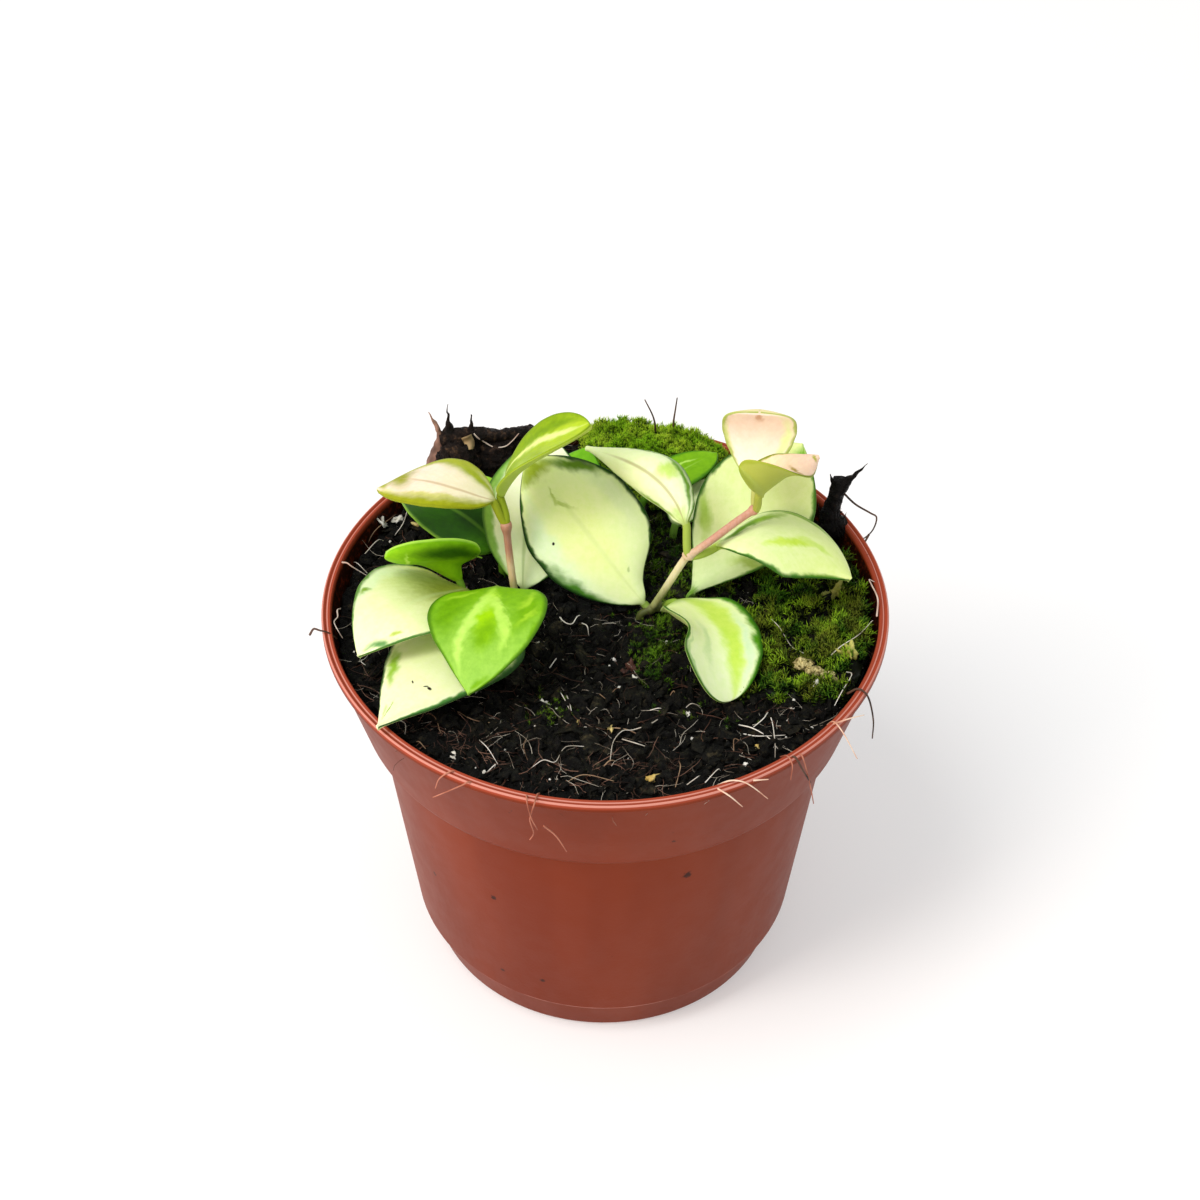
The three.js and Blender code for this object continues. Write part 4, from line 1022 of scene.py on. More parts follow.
def makeSoil():
    bm = bmesh.new()
    bmesh.ops.create_grid(bm, x_segments=peat["gridSteps"], y_segments=peat["gridSteps"], size=1)
    for v in bm.verts:
        # the square becomes a disc
        far = math.hypot(v.co.x, v.co.y)
        share = max(abs(v.co.x), abs(v.co.y))
        if far > 0:
            v.co.x, v.co.y = v.co.x / far * share, v.co.y / far * share
        x, y = v.co.x * soilReach, v.co.y * soilReach
        if share > 0.9999:
            rim = soilRim(soilTop(x, y))
            x, y = x / soilReach * rim, y / soilReach * rim
        v.co = Vector((x, y, roughTop(x, y)))
    border = [e for e in bm.edges if e.is_boundary]
    levels = [(potSize["collarFootRadius"], potSize["collarFoot"] + 1.2),
              (potSize["bodyTopRadius"], potSize["collarFoot"] - 2.4),
              (potSize["bodyFootRadius"], potSize["footHeight"]),
              (potSize["footRadius"], potSize["floorTop"] + 0.4)]
    for radius, z in levels:
        made = bmesh.ops.extrude_edge_only(bm, edges=border)["geom"]
        ring = [g for g in made if isinstance(g, bmesh.types.BMVert)]
        reach = radius - potSize["wall"] - 0.5
        for v in ring:
            far = math.hypot(v.co.x, v.co.y)
            v.co = Vector((v.co.x / far * reach, v.co.y / far * reach, z))
        border = [g for g in made if isinstance(g, bmesh.types.BMEdge) and g.is_boundary]
    bmesh.ops.contextual_create(bm, geom=border)
    bmesh.ops.recalc_face_normals(bm, faces=bm.faces)
    skin = peatSkin("dampPeat", "#010101", "#070705", "#1A1810", 1.6)
    finishPiece(bm, "peatBed", [skin], ["soil"])


def roughStone(steps, seed, jitter):
    # a broken, angular stone of about radius 1
    draw = random.Random(seed)
    bm = bmesh.new()
    bmesh.ops.create_icosphere(bm, subdivisions=steps, radius=1)
    for v in bm.verts:
        slow = jitter * noise.noise(v.co * 1.7 + Vector((seed, 0, 0)))
        v.co *= 1 + slow + draw.uniform(-0.22, 0.22)
    return bm


def bentFibre(draw, around=4, rings=6, taper=0.5):
    # a thin bent fibre about 20 mm long, that a matrix brings to size
    points = [(0, 0, 0)]
    heading = 0.0
    for _ in range(5):
        heading += draw.uniform(-0.7, 0.7)
        x, y, z = points[-1]
        points.append((x + 4 * math.cos(heading), y + 4 * math.sin(heading),
                       z + draw.uniform(-0.7, 0.9)))
    return cordOf(points, lambda share: 0.16 * (1 - taper * share), around, rings)


def onSoil(draw, rimGap=1.5):
    # an even random place on the soil
    reach = peat["roughWithin"]
    while True:
        x, y = draw.uniform(-reach, reach), draw.uniform(-reach, reach)
        if math.hypot(x, y) < soilReach - rimGap:
            return x, y


def tumbled(draw):
    return Quaternion((draw.gauss(0, 1), draw.gauss(0, 1), draw.gauss(0, 1),
                       draw.gauss(0, 1))).normalized().to_matrix().to_4x4()


def strewn(draw, count, sizes, flat, rise):
    # places for stones that lie on the peat, more of them small than large
    places = []
    for i in range(count):
        x, y = onSoil(draw)
        size = sizes[0] + (sizes[1] - sizes[0]) * draw.random() ** 2.2
        squash = Matrix.Diagonal((size * draw.uniform(0.7, 1.6), size, size * flat, 1))
        if flat > 0.4:
            turn = tumbled(draw)
        else:
            # flakes lie nearly level
            turn = Matrix.Rotation(draw.uniform(0, 6.3), 4, "Z")
            turn = turn @ Matrix.Rotation(draw.uniform(-0.7, 0.7), 4, "X")
        place = Matrix.Translation((x, y, roughTop(x, y) + size * rise))
        places.append((i, place @ turn @ squash))
    return places


def makeCrumbs():
    draw = random.Random(peat["seed"])
    for name, kind in peatStones.items():
        steps = kind["steps"]
        stones = [roughStone(steps, seed + 20 * steps, 0.9) for seed in range(10)]
        places = strewn(draw, kind["count"], kind["sizes"], kind["flat"], kind["rise"])
        skin = peatSkin(name + "Skin", *kind["tones"], kind["patch"])
        finishPiece(scattered(stones, places), name, [skin], flat=True)


def fibreSkin(name, root, tip):
    # dead root or sphagnum fibre: dull, pale where it is dry
    material, tree = newMaterial(name)
    place = node(tree, "TexCoord", out="Object")
    color = node(tree, "Mix", {0: patchy(tree, place, 6, 0.35, 0.65), 6: linear(root),
                               7: linear(tip)}, **colorMix)
    shader = node(tree, "BsdfPrincipled", {"Base Color": color, "Roughness": 0.6, "IOR": 1.45,
                                           "Specular IOR Level": 0.3})
    node(tree, "OutputMaterial", (shader,))
    return material


def makeFibres():
    draw = random.Random(peat["seed"] + 1)
    for name, kind in peatFibres.items():
        shapes = [bentFibre(draw) for _ in range(12)]
        places = []
        for i in range(kind["count"]):
            x, y = onSoil(draw, 2)
            if "arc" in kind:
                turn, far = draw.uniform(*kind["arc"]), draw.uniform(*kind["reach"])
                x, y = far * math.cos(turn), far * math.sin(turn)
            length = mixed(0.08, 0.46, draw.random() ** 1.6)
            wide = draw.uniform(*kind["thick"])
            size = Matrix.Diagonal((length, length, wide * 0.8, 1))
            tilt = Matrix.Rotation(draw.uniform(-0.35, 0.35), 4, "X")
            spin = Matrix.Rotation(draw.uniform(0, 2 * math.pi), 4, "Z")
            place = Matrix.Translation((x, y, roughTop(x, y) + 0.35))
            places.append((i, place @ spin @ tilt @ size))
        skin = fibreSkin(name + "Skin", *kind["tones"])
        finishPiece(scattered(shapes, places), name, [skin])


makeSoil()
makeCrumbs()
makeFibres()
print("soil made")


# Moss: a cushion over each patch, covered with small leafy shoots

# how many shoots, the patch they grow in, their heights, and the skin's painted shade, middle,
# bright and aged tones with the share of the last
moss = {
    "moss_mound": {"count": 4200, "x": (-9, 33), "y": (33, 58), "size": (1.4, 2.5),
                   "tones": ("#264A08", "#8CCC14", "#C4EE30", "#A0B41E", 0.3)},
    "moss_carpet": {"count": 3000, "x": (20, 57), "y": (-28, 20), "size": (1.5, 4.4),
                    "tones": ("#050A02", "#38680E", "#98C822", "#6E6A1C", 0.65)},
    "looseMoss": {"count": 1700, "x": (-20, 36), "y": (-34, 34), "size": (0.9, 2.6),
                  "tones": ("#0A1405", "#34600F", "#6CA01A", "#5A5A1A", 0.5)},
}


# where the cushions lie and how high they rise towards the rim, in millimetres
mound = {"left": -6.5, "right": 31, "front": 33.5, "least": 1.2, "rise": 5.6, "riseOver": 16,
         "clumps": 0.8, "clumpSize": 4}
carpet = {"left": 22, "middle": -4, "half": 23.5, "inner": 23, "least": 0.5, "rise": 0.9,
          "riseFrom": 26, "riseOver": 16, "clumps": 3.0, "ragged": 2.2}

# loose shoots by the stems, in the shade between the leaves and in front: middle, reach and share
looseSpots = [((9.5, -13), (3, 6), 1), ((17, 2), (5, 7), 0.9), ((14, 18), (5.5, 10), 0.9),
              ((-11, -30), (4, 3), 0.4), ((15, -6), (6, 9), 0.5)]


def moundHeight(x, y):
    m = mound
    inside = smooth((x - m["left"]) / 4) * smooth((m["right"] - x) / 9)
    inside *= smooth((y - m["front"]) / 2.5)
    clump = noise.noise(Vector((x / m["clumpSize"], y / m["clumpSize"], 17)))
    rise = m["rise"] * smooth((y - m["front"] + 0.5) / m["riseOver"])
    return inside * (m["least"] + rise + m["clumps"] * clump)


def carpetHeight(x, y):
    c = carpet
    ragged = c["ragged"] * noise.noise(Vector((x / 5, y / 5, 2)))
    inside = smooth((x - c["left"] - ragged) / 3)
    inside *= smooth((c["half"] + ragged - abs(y - c["middle"])) / 3)
    inside *= smooth((math.hypot(x, y) - c["inner"]) / 2)
    clump = noise.noise(Vector((x / 4.5, y / 4.5, 7))) + 0.5 * noise.noise(
        Vector((x / 2, y / 2, 11)))
    rise = c["rise"] * smooth((x - c["riseFrom"]) / c["riseOver"])
    return inside * (c["least"] + rise + c["clumps"] * clump)


def mossSkin(name, shadeTone, mid, bright, olive, oliveShare):
    # living moss: painted shade between the shoots, yellow green at their tips, olive where it ages
    material, tree = newMaterial(name)
    place = node(tree, "TexCoord", out="Object")
    along = node(tree, "SeparateXYZ", (node(tree, "UVMap", uv_map="along"),), "Y")
    tip = node(tree, "Mix", {0: patchy(tree, place, 5, 0.42, 0.6, detail=3), 6: linear(mid),
                             7: linear(bright)}, **colorMix)
    shifted = node(tree, "Mapping", {"Vector": place, "Location": (0.05, 0.02, 0)})
    aged = patchy(tree, shifted, 7, 0.45, 0.62, 0, oliveShare, 3)
    tip = node(tree, "Mix", {0: aged, 6: tip, 7: linear(olive)}, **colorMix)
    # the shoots darken towards their feet: painted shade
    rise = node(tree, "MapRange", (along, 0.1, 0.9), **softStep)
    color = node(tree, "Mix", {0: rise, 6: linear(shadeTone), 7: tip}, **colorMix)
    shader = node(tree, "BsdfPrincipled", {
        "Base Color": color, "Roughness": 0.55, "IOR": 1.4, "Specular IOR Level": 0.2,
        "Subsurface Weight": 0.08, "Subsurface Radius": (0.0006, 0.001, 0.0003),
        "Subsurface Scale": 1.0})
    node(tree, "OutputMaterial", (shader,))
    return material


def mossShoot(draw, leafCount):
    # one shoot 1 mm tall: pointed leaves in a spiral up a leaning line, with no stem of its own
    bm = bmesh.new()
    lean = draw.uniform(0.1, 0.5)
    for i in range(leafCount):
        rise = i / leafCount
        length = mixed(0.66, 0.5, rise)
        turn = Matrix.Rotation(i * 2.4 + draw.uniform(-0.4, 0.4), 4, "Z")
        spread = Matrix.Rotation(mixed(1.15, 0.3, rise) + draw.uniform(-0.15, 0.15), 4, "Y")
        place = Matrix.Translation((lean * rise * rise, 0, rise * 0.62))
        bmesh.ops.create_cone(bm, cap_ends=True, segments=3, radius1=0.065, radius2=0,
                              depth=length, matrix=place @ turn @ spread
                              @ Matrix.Translation((0, 0, length / 2)))
    uv = bm.loops.layers.uv.new("along")
    for face in bm.faces:
        for loop in face.loops:
            loop[uv].uv = (0.5, min(max(loop.vert.co.z / 1.1, 0), 1))
    return bm


def cushion(heightAt, xs, ys):
    # the moss's own ground: a grid over the patch, sunk under the soil outside it
    bm = bmesh.new()
    bmesh.ops.create_grid(bm, x_segments=60, y_segments=60, size=1)
    uv = bm.loops.layers.uv.new("along")
    for v in bm.verts:
        x = mixed(xs[0], xs[1], (v.co.x + 1) / 2)
        y = mixed(ys[0], ys[1], (v.co.y + 1) / 2)
        far = math.hypot(x, y)
        reach = soilReach - 0.4
        if far > reach:
            x, y = x / far * reach, y / far * reach
        v.co = Vector((x, y, soilTop(x, y) - 0.7 + max(heightAt(x, y), 0)))
    under = bmesh.ops.extrude_face_region(bm, geom=bm.faces[:])["geom"]
    for g in under:
        if isinstance(g, bmesh.types.BMVert):
            g.co.z = peat["level"] - 4
    bmesh.ops.recalc_face_normals(bm, faces=bm.faces)
    # the cushion takes the shade tone: painted shade between the shoots
    for face in bm.faces:
        for loop in face.loops:
            loop[uv].uv = (0.5, 0.15)
    return bm


def looseDensity(x, y):
    # how likely a loose shoot is here
    near = sum(share * bell((x - at[0]) / reach[0]) * bell((y - at[1]) / reach[1])
               for at, reach, share in looseSpots)
    cluster = noise.noise(Vector((x / 4, y / 4, 30)))
    return near + 0.3 * max(0, cluster) * smooth((x - 6) / 16)


def makeMoss():
    heights = {"moss_mound": moundHeight, "moss_carpet": carpetHeight}
    edge = soilReach - 0.8
    for name, spec in moss.items():
        draw = random.Random(len(name))
        shoots = [mossShoot(draw, 8) for _ in range(9)]
        places = []
        while len(places) < spec["count"]:
            x, y = draw.uniform(*spec["x"]), draw.uniform(*spec["y"])
            far = math.hypot(x, y)
            outside = far > edge
            if outside and (name != "moss_mound" or far > soilReach + 2):
                continue
            if outside:
                x, y = x / far * edge, y / far * edge
            # shoots stand only on the raised parts of a cushion, loose ones where they may grow
            vigour = 0.5 + noise.noise(Vector((x / 3.5, y / 3.5, 50)))
            if name in heights:
                raised = heights[name](x, y)
                if raised < 0.3 + 0.4 * draw.random():
                    continue
                raised -= 0.5
            elif draw.random() > looseDensity(x, y):
                continue
            else:
                raised = 0.0
            # the carpet has nearly bare places
            bare = noise.noise(Vector((x / 3.4, y / 3.4, 70.5))) + 0.05
            if name == "moss_carpet" and bare < 0 and draw.random() < 0.9:
                continue
            size = mixed(*spec["size"], min(max(0.6 * vigour + 0.5 * draw.random(), 0), 1))
            tilt = Matrix.Rotation(draw.uniform(0, 0.75), 4, "X")
            spin = Matrix.Rotation(draw.uniform(0, 2 * math.pi), 4, "Z")
            if outside:
                # on the mound's steep rear the shoots point out
                raised *= draw.random()
                tilt = Matrix.Rotation(draw.uniform(0.5, 1.4), 4, "Y")
                spin = Matrix.Rotation(math.atan2(y, x) + draw.uniform(-0.5, 0.5), 4, "Z")
                size *= 0.8
            slim = Matrix.Diagonal((size * 0.72, size * 0.72, size, 1))
            place = Matrix.Translation((x, y, soilTop(x, y) + raised))
            places.append((len(places), place @ spin @ tilt @ slim))
        whole = scattered(shoots, places)
        replaced = []
        if name in heights:
            added(whole, cushion(heights[name], spec["x"], spec["y"]))
            replaced = [name]
        finishPiece(whole, name + "_shoots", [mossSkin(name + "Skin", *spec["tones"])],
                    replaced)


makeMoss()
print("moss made")


# Roots that show in the open: each has its line on the soil as seen from above, in millimetres,
# and each kind two tones that its skin mixes in patches

rootLook = {"white": ("#BEB6A6", "#F0ECE2"), "tan": ("#6E5540", "#A98C6E"),
            "thick": (0.09, 0.14), "lift": (0.9, 1.5), "endLift": 0.1, "seed": 5}

roots = {
    "white": [
        [(-10.7, 1), (-8.7, -4), (-7, -5), (-5.8, -2.6), (-4.3, -0.3)],
        [(-5, -3), (-3.8, -6), (-3.4, -7)],
        [(-9.7, -23.3), (-8, -27.6), (-6.6, -31)], [(-8.2, -23), (-7, -29), (-6.4, -32)],
        [(11.7, -31.7), (9.2, -35), (5.8, -35.6), (3.6, -36.7), (1.8, -40), (1.2, -45)],
        [(9.3, -29.5), (12.5, -29)], [(3.6, -38), (6, -40), (10, -41)],
        [(-25, -38.7), (-23, -43), (-21, -46)],
        [(-14.5, -46.8), (-12, -46), (-9.7, -46), (-8.3, -42), (-7, -41), (-4, -41)],
        [(16.2, -52), (18.8, -49.3)], [(19.8, -50.6), (23, -47.6)], [(-23, -47.5), (-21.6, -46.7)],
        [(5.7, -44.7), (6.8, -42.6), (6.8, -40.8)], [(-11.5, -17), (-8.5, -14.6)],
        [(16.4, -28.7), (19.8, -27.8)], [(34.9, -5.5), (36.6, -8.3), (39, -11.6), (41.4, -15.2)],
        [(46.9, -15.4), (49.1, -13.6), (53, -10.3), (56.4, -5.2)],
        [(50, -18.6), (50.7, -21.5), (48.3, -26.5), (46, -29.6)],
        [(33.7, -31), (34, -34.6), (34, -41), (34, -42.8)],
        [(27, -33), (29.7, -36), (32.7, -37.6), (34.6, -41)],
        [(28, -36), (30.8, -37.7), (36.5, -36.4)], [(33.2, -30), (29.4, -35)],
        [(36, -33.8), (37.7, -31.8), (40.2, -32)], [(-50.7, -14.6), (-48.4, -17.4)],
        [(-41.6, -33), (-40, -37.4)], [(-53, 17), (-49, 22)],
        [(-44.4, 34), (-45, 27), (-46.8, 24.6)], [(-39, 27.4), (-40.8, 25)],
        [(-55.5, 16.5), (-54, 14), (-51.8, 12.2)],
    ],
    "tan": [
        [(1.6, -34.4), (4.6, -35.4), (8, -37.5)], [(-15.6, -38), (-16, -42), (-14.8, -46)],
        [(14.8, -45), (15, -47.7), (14, -51.7)], [(-0.3, -47), (1.2, -46), (2.7, -44.7)],
        [(1, -26.4), (3.3, -23.8)], [(-1, -24.3), (0.5, -27.3)], [(12.9, -25.5), (14.6, -25.5)],
        [(27.7, -39), (25.8, -41.7)], [(-37.6, -39), (-35.5, -42)], [(-36.7, -29.6), (-33, -36)],
        [(-53, 22), (-51, 25.4), (-47, 31.5)],
        [(-30, -30), (-26, -33), (-20, -34)], [(-8, -52), (-4, -50), (2, -51)],
    ],
}


def groundTop(x, y):
    # the peat or the moss on it
    return roughTop(x, y) + max(carpetHeight(x, y), 0) + 0.9 * smooth(carpetHeight(x, y))


def makeRoots():
    draw = random.Random(rootLook["seed"])
    for tone, lines in roots.items():
        whole = bmesh.new()
        for line in lines:
            points = []
            for i, (x, y) in enumerate(line):
                # the ends dive into the peat
                ends = i in (0, len(line) - 1)
                lift = rootLook["endLift"] if ends else draw.uniform(*rootLook["lift"])
                points.append((x, y, groundTop(x, y) + 0.4 + lift))
            if len(points) == 2:
                middle = (Vector(points[0]) + Vector(points[1])) / 2
                middle += Vector((draw.uniform(-0.9, 0.9), draw.uniform(-0.9, 0.9), 1.4))
                points.insert(1, tuple(middle))
            thick = draw.uniform(*rootLook["thick"])

            def radiusAt(share, thick=thick):
                return thick * (1 - 0.35 * share)
            added(whole, cordOf(points, radiusAt, 7, 8 * len(points)))
        skin = fibreSkin(tone + "RootSkin", *rootLook[tone])
        finishPiece(whole, tone + "Roots", [skin])


# Roots that hang over the rim, cross the bark, stand on the mound or lie by the wall: points in
# millimetres, where the rim's top is at 95

hangingLook = {"reddish": {"tones": ("#8E4E3A", "#C07E66"), "thick": 0.2},
               "pale": {"tones": ("#CC957C", "#EBD3BC"), "thick": 0.2},
               "dark": {"tones": ("#2A1D17", "#5E4436"), "thick": 0.27},
               "wall": {"tones": ("#B99C8C", "#E8DCD0"), "thick": 0.2}}

hanging = {
    "reddish": [
        [(-12.6, -54, 92.2), (-12.9, -57, 95), (-13.4, -59.8, 95.3), (-14.2, -60.6, 92),
         (-13.6, -60, 87.5), (-14.4, -59.6, 85)],
        [(-14.8, -54.5, 92), (-14.9, -57.5, 95.2), (-14.6, -60, 95.1), (-13.8, -60.7, 92),
         (-12.8, -60.2, 88.6)],
        [(-11.6, -60.4, 90), (-9.2, -60, 86.5), (-7.2, -60.3, 82.4)],
        [(35, -43.5, 92), (36, -46.4, 95.3), (36.9, -48.2, 94.6), (36.8, -48.6, 90.8)],
        [(38, -44.6, 93), (38.8, -46, 95.2), (40.2, -47.2, 91), (41.4, -45.8, 85),
         (42.4, -44, 79)],
        [(-25, -52, 92), (-26, -53.8, 95.2), (-27.6, -54.6, 95), (-30.5, -54.4, 93),
         (-33.5, -53.2, 90)],
        [(-28.4, -49.6, 92.4), (-29.6, -51, 95.2), (-32, -52, 94.2), (-33, -52.2, 91.5)],
    ],
    "pale": [
        [(21, -52.5, 92.4), (24.2, -53.2, 95.3), (26.8, -53.6, 95.6), (29, -54.2, 94.6),
         (32, -53.8, 91)],
        [(22, -55, 95.1), (24.4, -56.4, 94.4), (27, -56, 91)],
        [(29, -53, 95.3), (32, -52.6, 95.2)],
        [(44.8, -35.5, 93), (45.8, -37.2, 95.6), (47.6, -40, 95), (50.5, -42, 90)],
        [(45.6, -37.5, 95.3), (49, -36.6, 96), (52, -35, 95.4)],
    ],
    "dark": [
        [(36.6, -45, 92), (37.4, -46.6, 95.3), (39.4, -47.6, 92), (41, -46.6, 88)],
        [(49.5, -26.5, 93), (51.5, -27.6, 95.4), (53.4, -29, 94.4), (54.8, -30, 89),
         (55, -30.4, 84)],
        [(-61.9, -9.6, 92.5), (-60.8, -10.5, 95), (-59.3, -11.9, 95.9), (-57.6, -11.8, 95.2),
         (-56, -11.5, 93.2)],
        [(50.8, 26.6, 104), (52.6, 26.4, 101.6), (55, 26.4, 99), (58.2, 26.2, 96.9),
         (59.6, 25.6, 96.2), (59, 22.7, 96), (57.6, 20.6, 95.4), (55, 19.4, 94)],
        [(57.6, 20.6, 95.4), (56.4, 18.4, 94.6), (55.6, 16.8, 93.6)],
        [(11.2, 52, 99), (11, 52, 101.5), (10.3, 52, 104.1), (8.6, 52, 108.1)],
        [(15.2, 52, 99), (15.3, 52, 102.4), (15.6, 52, 105.5), (15.9, 52, 108.7)],
    ],
    "wall": [
        [(-29.7, 43.6, 104.7), (-28.8, 43.4, 103.6), (-27.5, 44, 102), (-25.3, 43.9, 100.6),
         (-22.9, 44.4, 100.4), (-21.3, 45, 101.4), (-19.7, 46.2, 102.8)],
        [(-56.8, 10.5, 95.1), (-55.6, 9.8, 95.5), (-54.5, 9, 95.2), (-51.6, 9.7, 92)],
        [(-56.4, -0.5, 91.6), (-56.6, -3.5, 93.9), (-56.4, -5.2, 93.6), (-57, -6.8, 93.6),
         (-56, -9.4, 93.8), (-55, -10.1, 92)],
        [(57.2, -5, 94.6), (57.6, -1, 96), (56.6, 3, 96.4), (56.2, 4.4, 96.6), (57.4, 4.6, 95.8)],
    ],
}


def makeHangingRoots():
    for tone, lines in hanging.items():
        whole = bmesh.new()
        thick = hangingLook[tone]["thick"]
        for line in lines:
            added(whole, cordOf(line, lambda share: thick * (1 - 0.5 * share), 7, 8 * len(line)))
        skin = fibreSkin(tone + "HangingSkin", *hangingLook[tone]["tones"])
        finishPiece(whole, tone + "HangingRoots", [skin])


# Perlite, grit and chips that catch the eye: place and size. Fine white specks lie between
# them as painted glints on the damp peat.

gritLook = {"white": ("#D9D4C6", "#F6F4EC"), "yellow": ("#B79A4E", "#E4CF86"),
            "lime": ("#6E7420", "#C2BE6A"), "rust": ("#2A1914", "#4E3026"),
            "glintSpecks": 90, "glintSpeckSizes": (0.12, 0.32), "seed": 23}

grit = {
    "white": [(-50, 28.6, 1.3), (-46.5, 30.6, 1.1), (-12.6, -27.3, 1.0), (17, -30, 0.7),
              (-13.9, -9.7, 0.5), (6.2, -20, 0.7), (44.6, -21.7, 1.2), (43.3, -24, 0.8),
              (17, -30.4, 0.6), (-44, 8, 0.6), (-30, -44, 0.6), (28, -45, 0.5), (2, -14, 0.4)],
    "yellow": [(9.2, -50, 1.2), (-6, -32, 0.9), (-41.8, 28.6, 1.1), (1.2, -34.3, 0.9),
               (30.8, -40, 0.8)],
    "lime": [(49.8, 4.6, 1.5), (48.1, 5.6, 1.1), (50.7, -16.1, 1.3), (49.4, -15.2, 0.9)],
    "rust": [(5.6, -16.6, 1.5), (4.2, -18, 1.0), (-2, -40, 0.9)],
}


def makeGrit():
    draw = random.Random(gritLook["seed"])
    for tone, spots in grit.items():
        stones = [roughStone(3, seed + 40, 1.1) for seed in range(5)]
        places = []
        for i, (x, y, size) in enumerate(spots):
            squash = Matrix.Diagonal((size * draw.uniform(0.9, 1.3), size * 0.85, size * 0.7, 1))
            place = Matrix.Translation((x, y, groundTop(x, y) + size * 0.45))
            places.append((i, place @ tumbled(draw) @ squash))
        # the fine white specks are painted glints on the damp peat
        if tone == "white":
            for i in range(gritLook["glintSpecks"]):
                x, y = onSoil(draw, 2)
                size = draw.uniform(*gritLook["glintSpeckSizes"])
                place = Matrix.Translation((x, y, roughTop(x, y) + 0.4))
                places.append((i, place @ Matrix.Scale(size, 4)))
        skin = fibreSkin(tone + "Grit", *gritLook[tone])
        finishPiece(scattered(stones, places), tone + "GritStones", [skin])


makeRoots()
makeHangingRoots()
makeGrit()
print("roots made")


# Broken peat and bark that stand up at the rim, and the pale chip

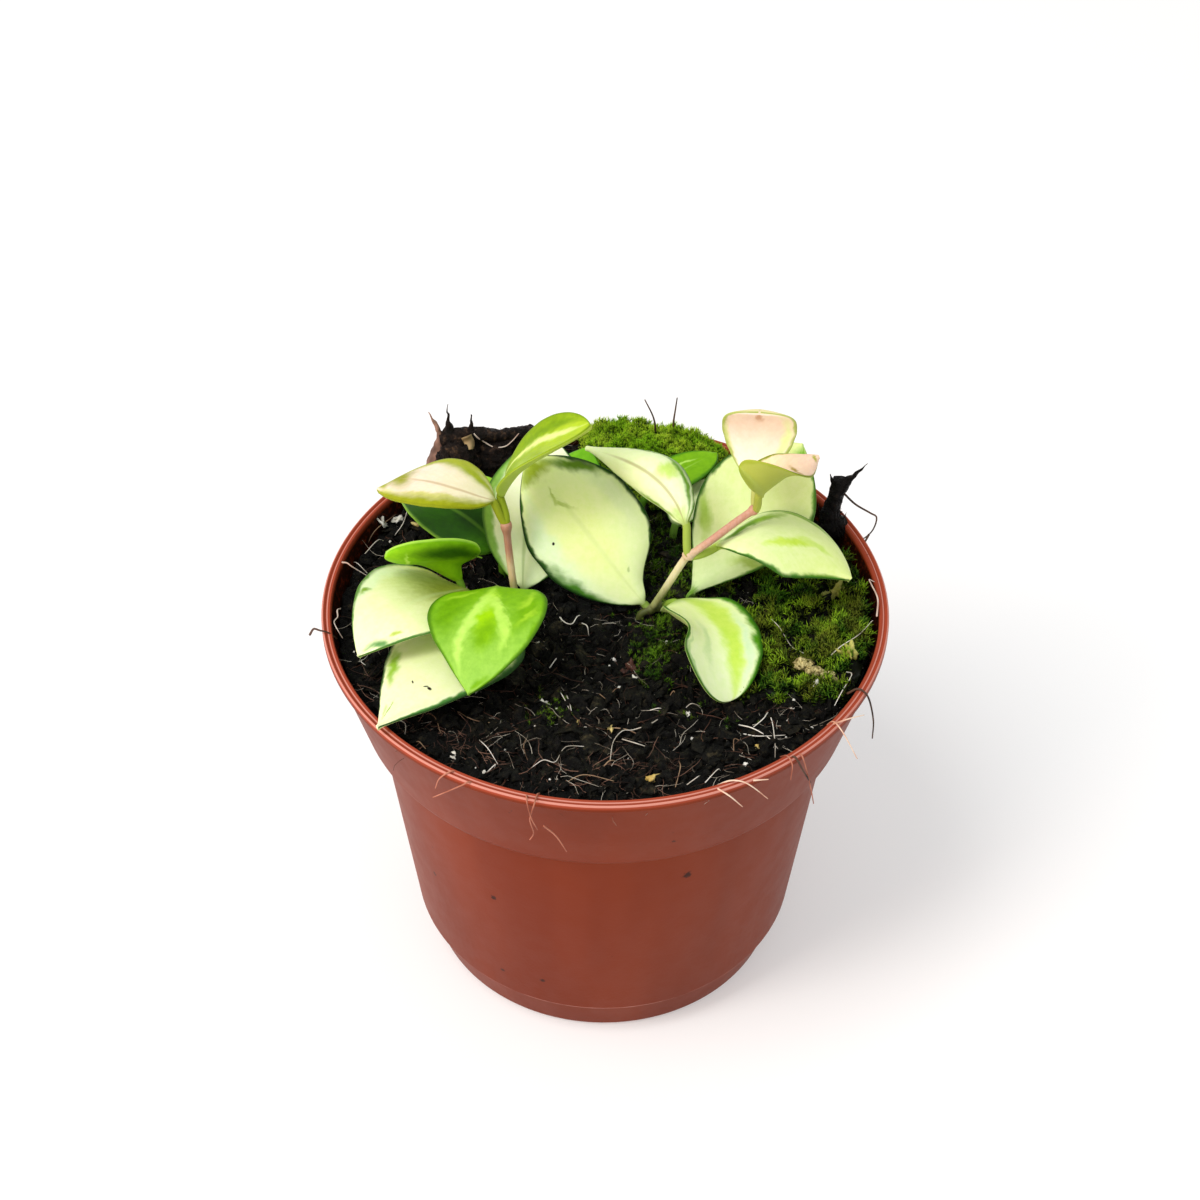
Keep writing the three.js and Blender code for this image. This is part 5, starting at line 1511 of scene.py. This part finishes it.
# Bodies are broken balls: middle and half sizes. Cords are horns, bars and roots on them: points,
# first and last radius, the power of the taper, and which skin. Rugged scales the broken surface.
lumps = {
    "bark_left": {
        "slot": "bark", "fibres": 34, "rugged": 1, "tones": ("#070504", "#1F1612", "#5E4735"),
        "patch": 1.7, "hornTones": [("#4A3228", "#A07C6C"), ("#6E5C3C", "#B8A074")],
        "bodies": [((-33.4, 42.8, 96), (5.4, 5.2, 8.4)), ((-27, 47, 95), (7.5, 5.3, 7)),
                   ((-19, 50.5, 94), (7.5, 4.6, 7))],
        "cords": [
            ([(-38, 43.6, 96), (-37.4, 44, 101), (-37.6, 44, 105.4), (-39.6, 44, 110.4)],
             2.8, 0.12, 1.6, 1),
            ([(-34.8, 44, 100), (-35.2, 44, 105), (-35.3, 44, 108.6), (-35.3, 44.4, 112.3)],
             3, 0.1, 2, 0),
            ([(-30.6, 44.6, 100), (-30.4, 44.6, 104.4), (-30, 44.4, 109.4)], 2.6, 0.15, 1.7, 0),
            ([(-37, 44, 102.6), (-33, 44, 103.8), (-29, 45, 103.4), (-24, 47, 101.6),
              (-17, 50, 100.4)], 2, 1.3, 1, 0),
            ([(-31.3, 43, 104.4), (-30.8, 42.5, 103.2), (-30.5, 41.2, 101.9)], 1.4, 1, 1, 2)]},
    "bark_right": {
        "slot": "bark", "fibres": 14, "rugged": 0.8, "tones": ("#040303", "#0E0A08", "#2A1F18"),
        "patch": 1.5, "hornTones": [("#120D0A", "#2A1F18")],
        "bodies": [((49.4, 26.4, 95.6), (2.2, 2.2, 3.6)), ((50.6, 25.6, 93.6), (3.2, 3, 2.8))],
        "cords": [
            ([(49.8, 27, 91), (49.7, 27, 97), (50.4, 27, 101), (51, 27, 105.6)], 2.2, 1.5, 1, 0),
            ([(50, 27, 103), (49.4, 27, 105.2), (48.7, 27, 107.2)], 1.2, 0.1, 1.5, 0),
            ([(51.4, 27, 103.4), (52.9, 26.8, 105.8), (54.4, 26.7, 107.8), (56.5, 26.6, 110.2)],
             1.5, 0.08, 1.5, 0)]},
    "pale_chip": {
        "slot": "wood_chip", "fibres": 0, "rugged": 3, "tones": ("#57481F", "#D9CB8C", "#FBF2C4"),
        "patch": 0.7, "hornTones": [("#C9B777", "#EFE2AE")], "cords": [],
        "bodies": [((40.8, -18.2, 93.2), (2.2, 1.2, 1.3)), ((43.2, -20.2, 93.2), (2.2, 1.1, 0.9)),
                   ((45.8, -21.4, 93.1), (1.5, 1.2, 1.1)), ((47, -22.6, 93), (0.9, 0.7, 0.8))]},
}


def makeLump(name):
    spec = lumps[name]
    draw = random.Random(len(name) * 7)
    whole = bmesh.new()
    for at, size in spec["bodies"]:
        part = bmesh.new()
        bmesh.ops.create_icosphere(part, subdivisions=5, radius=1)
        for v in part.verts:
            spot = Vector(at) + Vector(v.co[i] * size[i] for i in range(3))
            # slow swellings, sharp cracks and a fine grain
            coarse = noise.noise(spot / 2.9) * 0.14 - abs(noise.noise(spot / 1.3)) * 0.16
            fine = noise.noise(spot / 0.55) * 0.05
            grown = 1 + (coarse + fine) * spec["rugged"]
            v.co = Vector(at) + Vector(v.co[i] * size[i] * grown for i in range(3))
        added(whole, part)
    for line, first, last, power, tone in spec["cords"]:
        part = cordOf(line, lambda share: last + (first - last) * (1 - share) ** power, 18, 40)
        for v in part.verts:
            shift = [noise.noise(v.co / 1.4 + Vector((0, 0, 31 * i))) for i in range(3)]
            # thick horns bend more than thin ones
            v.co += Vector(shift) * 0.35 * min(first, 1.6) / 1.6
        for face in part.faces:
            face.material_index = tone
        added(whole, part)
    for _ in range(spec["fibres"]):
        # a short hair that lies along the surface
        at, size = draw.choice(spec["bodies"])
        out = Vector((draw.gauss(0, 1), draw.gauss(0, 1), abs(draw.gauss(0, 1)) + 0.2))
        out.normalize()
        start = Vector(at) + Vector(out[i] * size[i] * 0.9 for i in range(3))
        aside = out.cross(Vector((draw.gauss(0, 1), draw.gauss(0, 1), draw.gauss(0, 1))))
        aside.normalize()
        line = [start, start + out * 0.5 + aside * 1.2,
                start + out * draw.uniform(0, 0.7) + aside * 2.8]
        added(whole, cordOf(line, lambda share: 0.14 * (1 - share) + 0.04, 5, 6))
    skins = [peatSkin(name + "Skin", *spec["tones"], spec["patch"])]
    for i, tones in enumerate(spec["hornTones"]):
        skins.append(fibreSkin(name + "Horn" + str(i), *tones))
    finishPiece(whole, name + "_pieces", skins, [name])


for lumpName in lumps:
    makeLump(lumpName)
print("bark made")
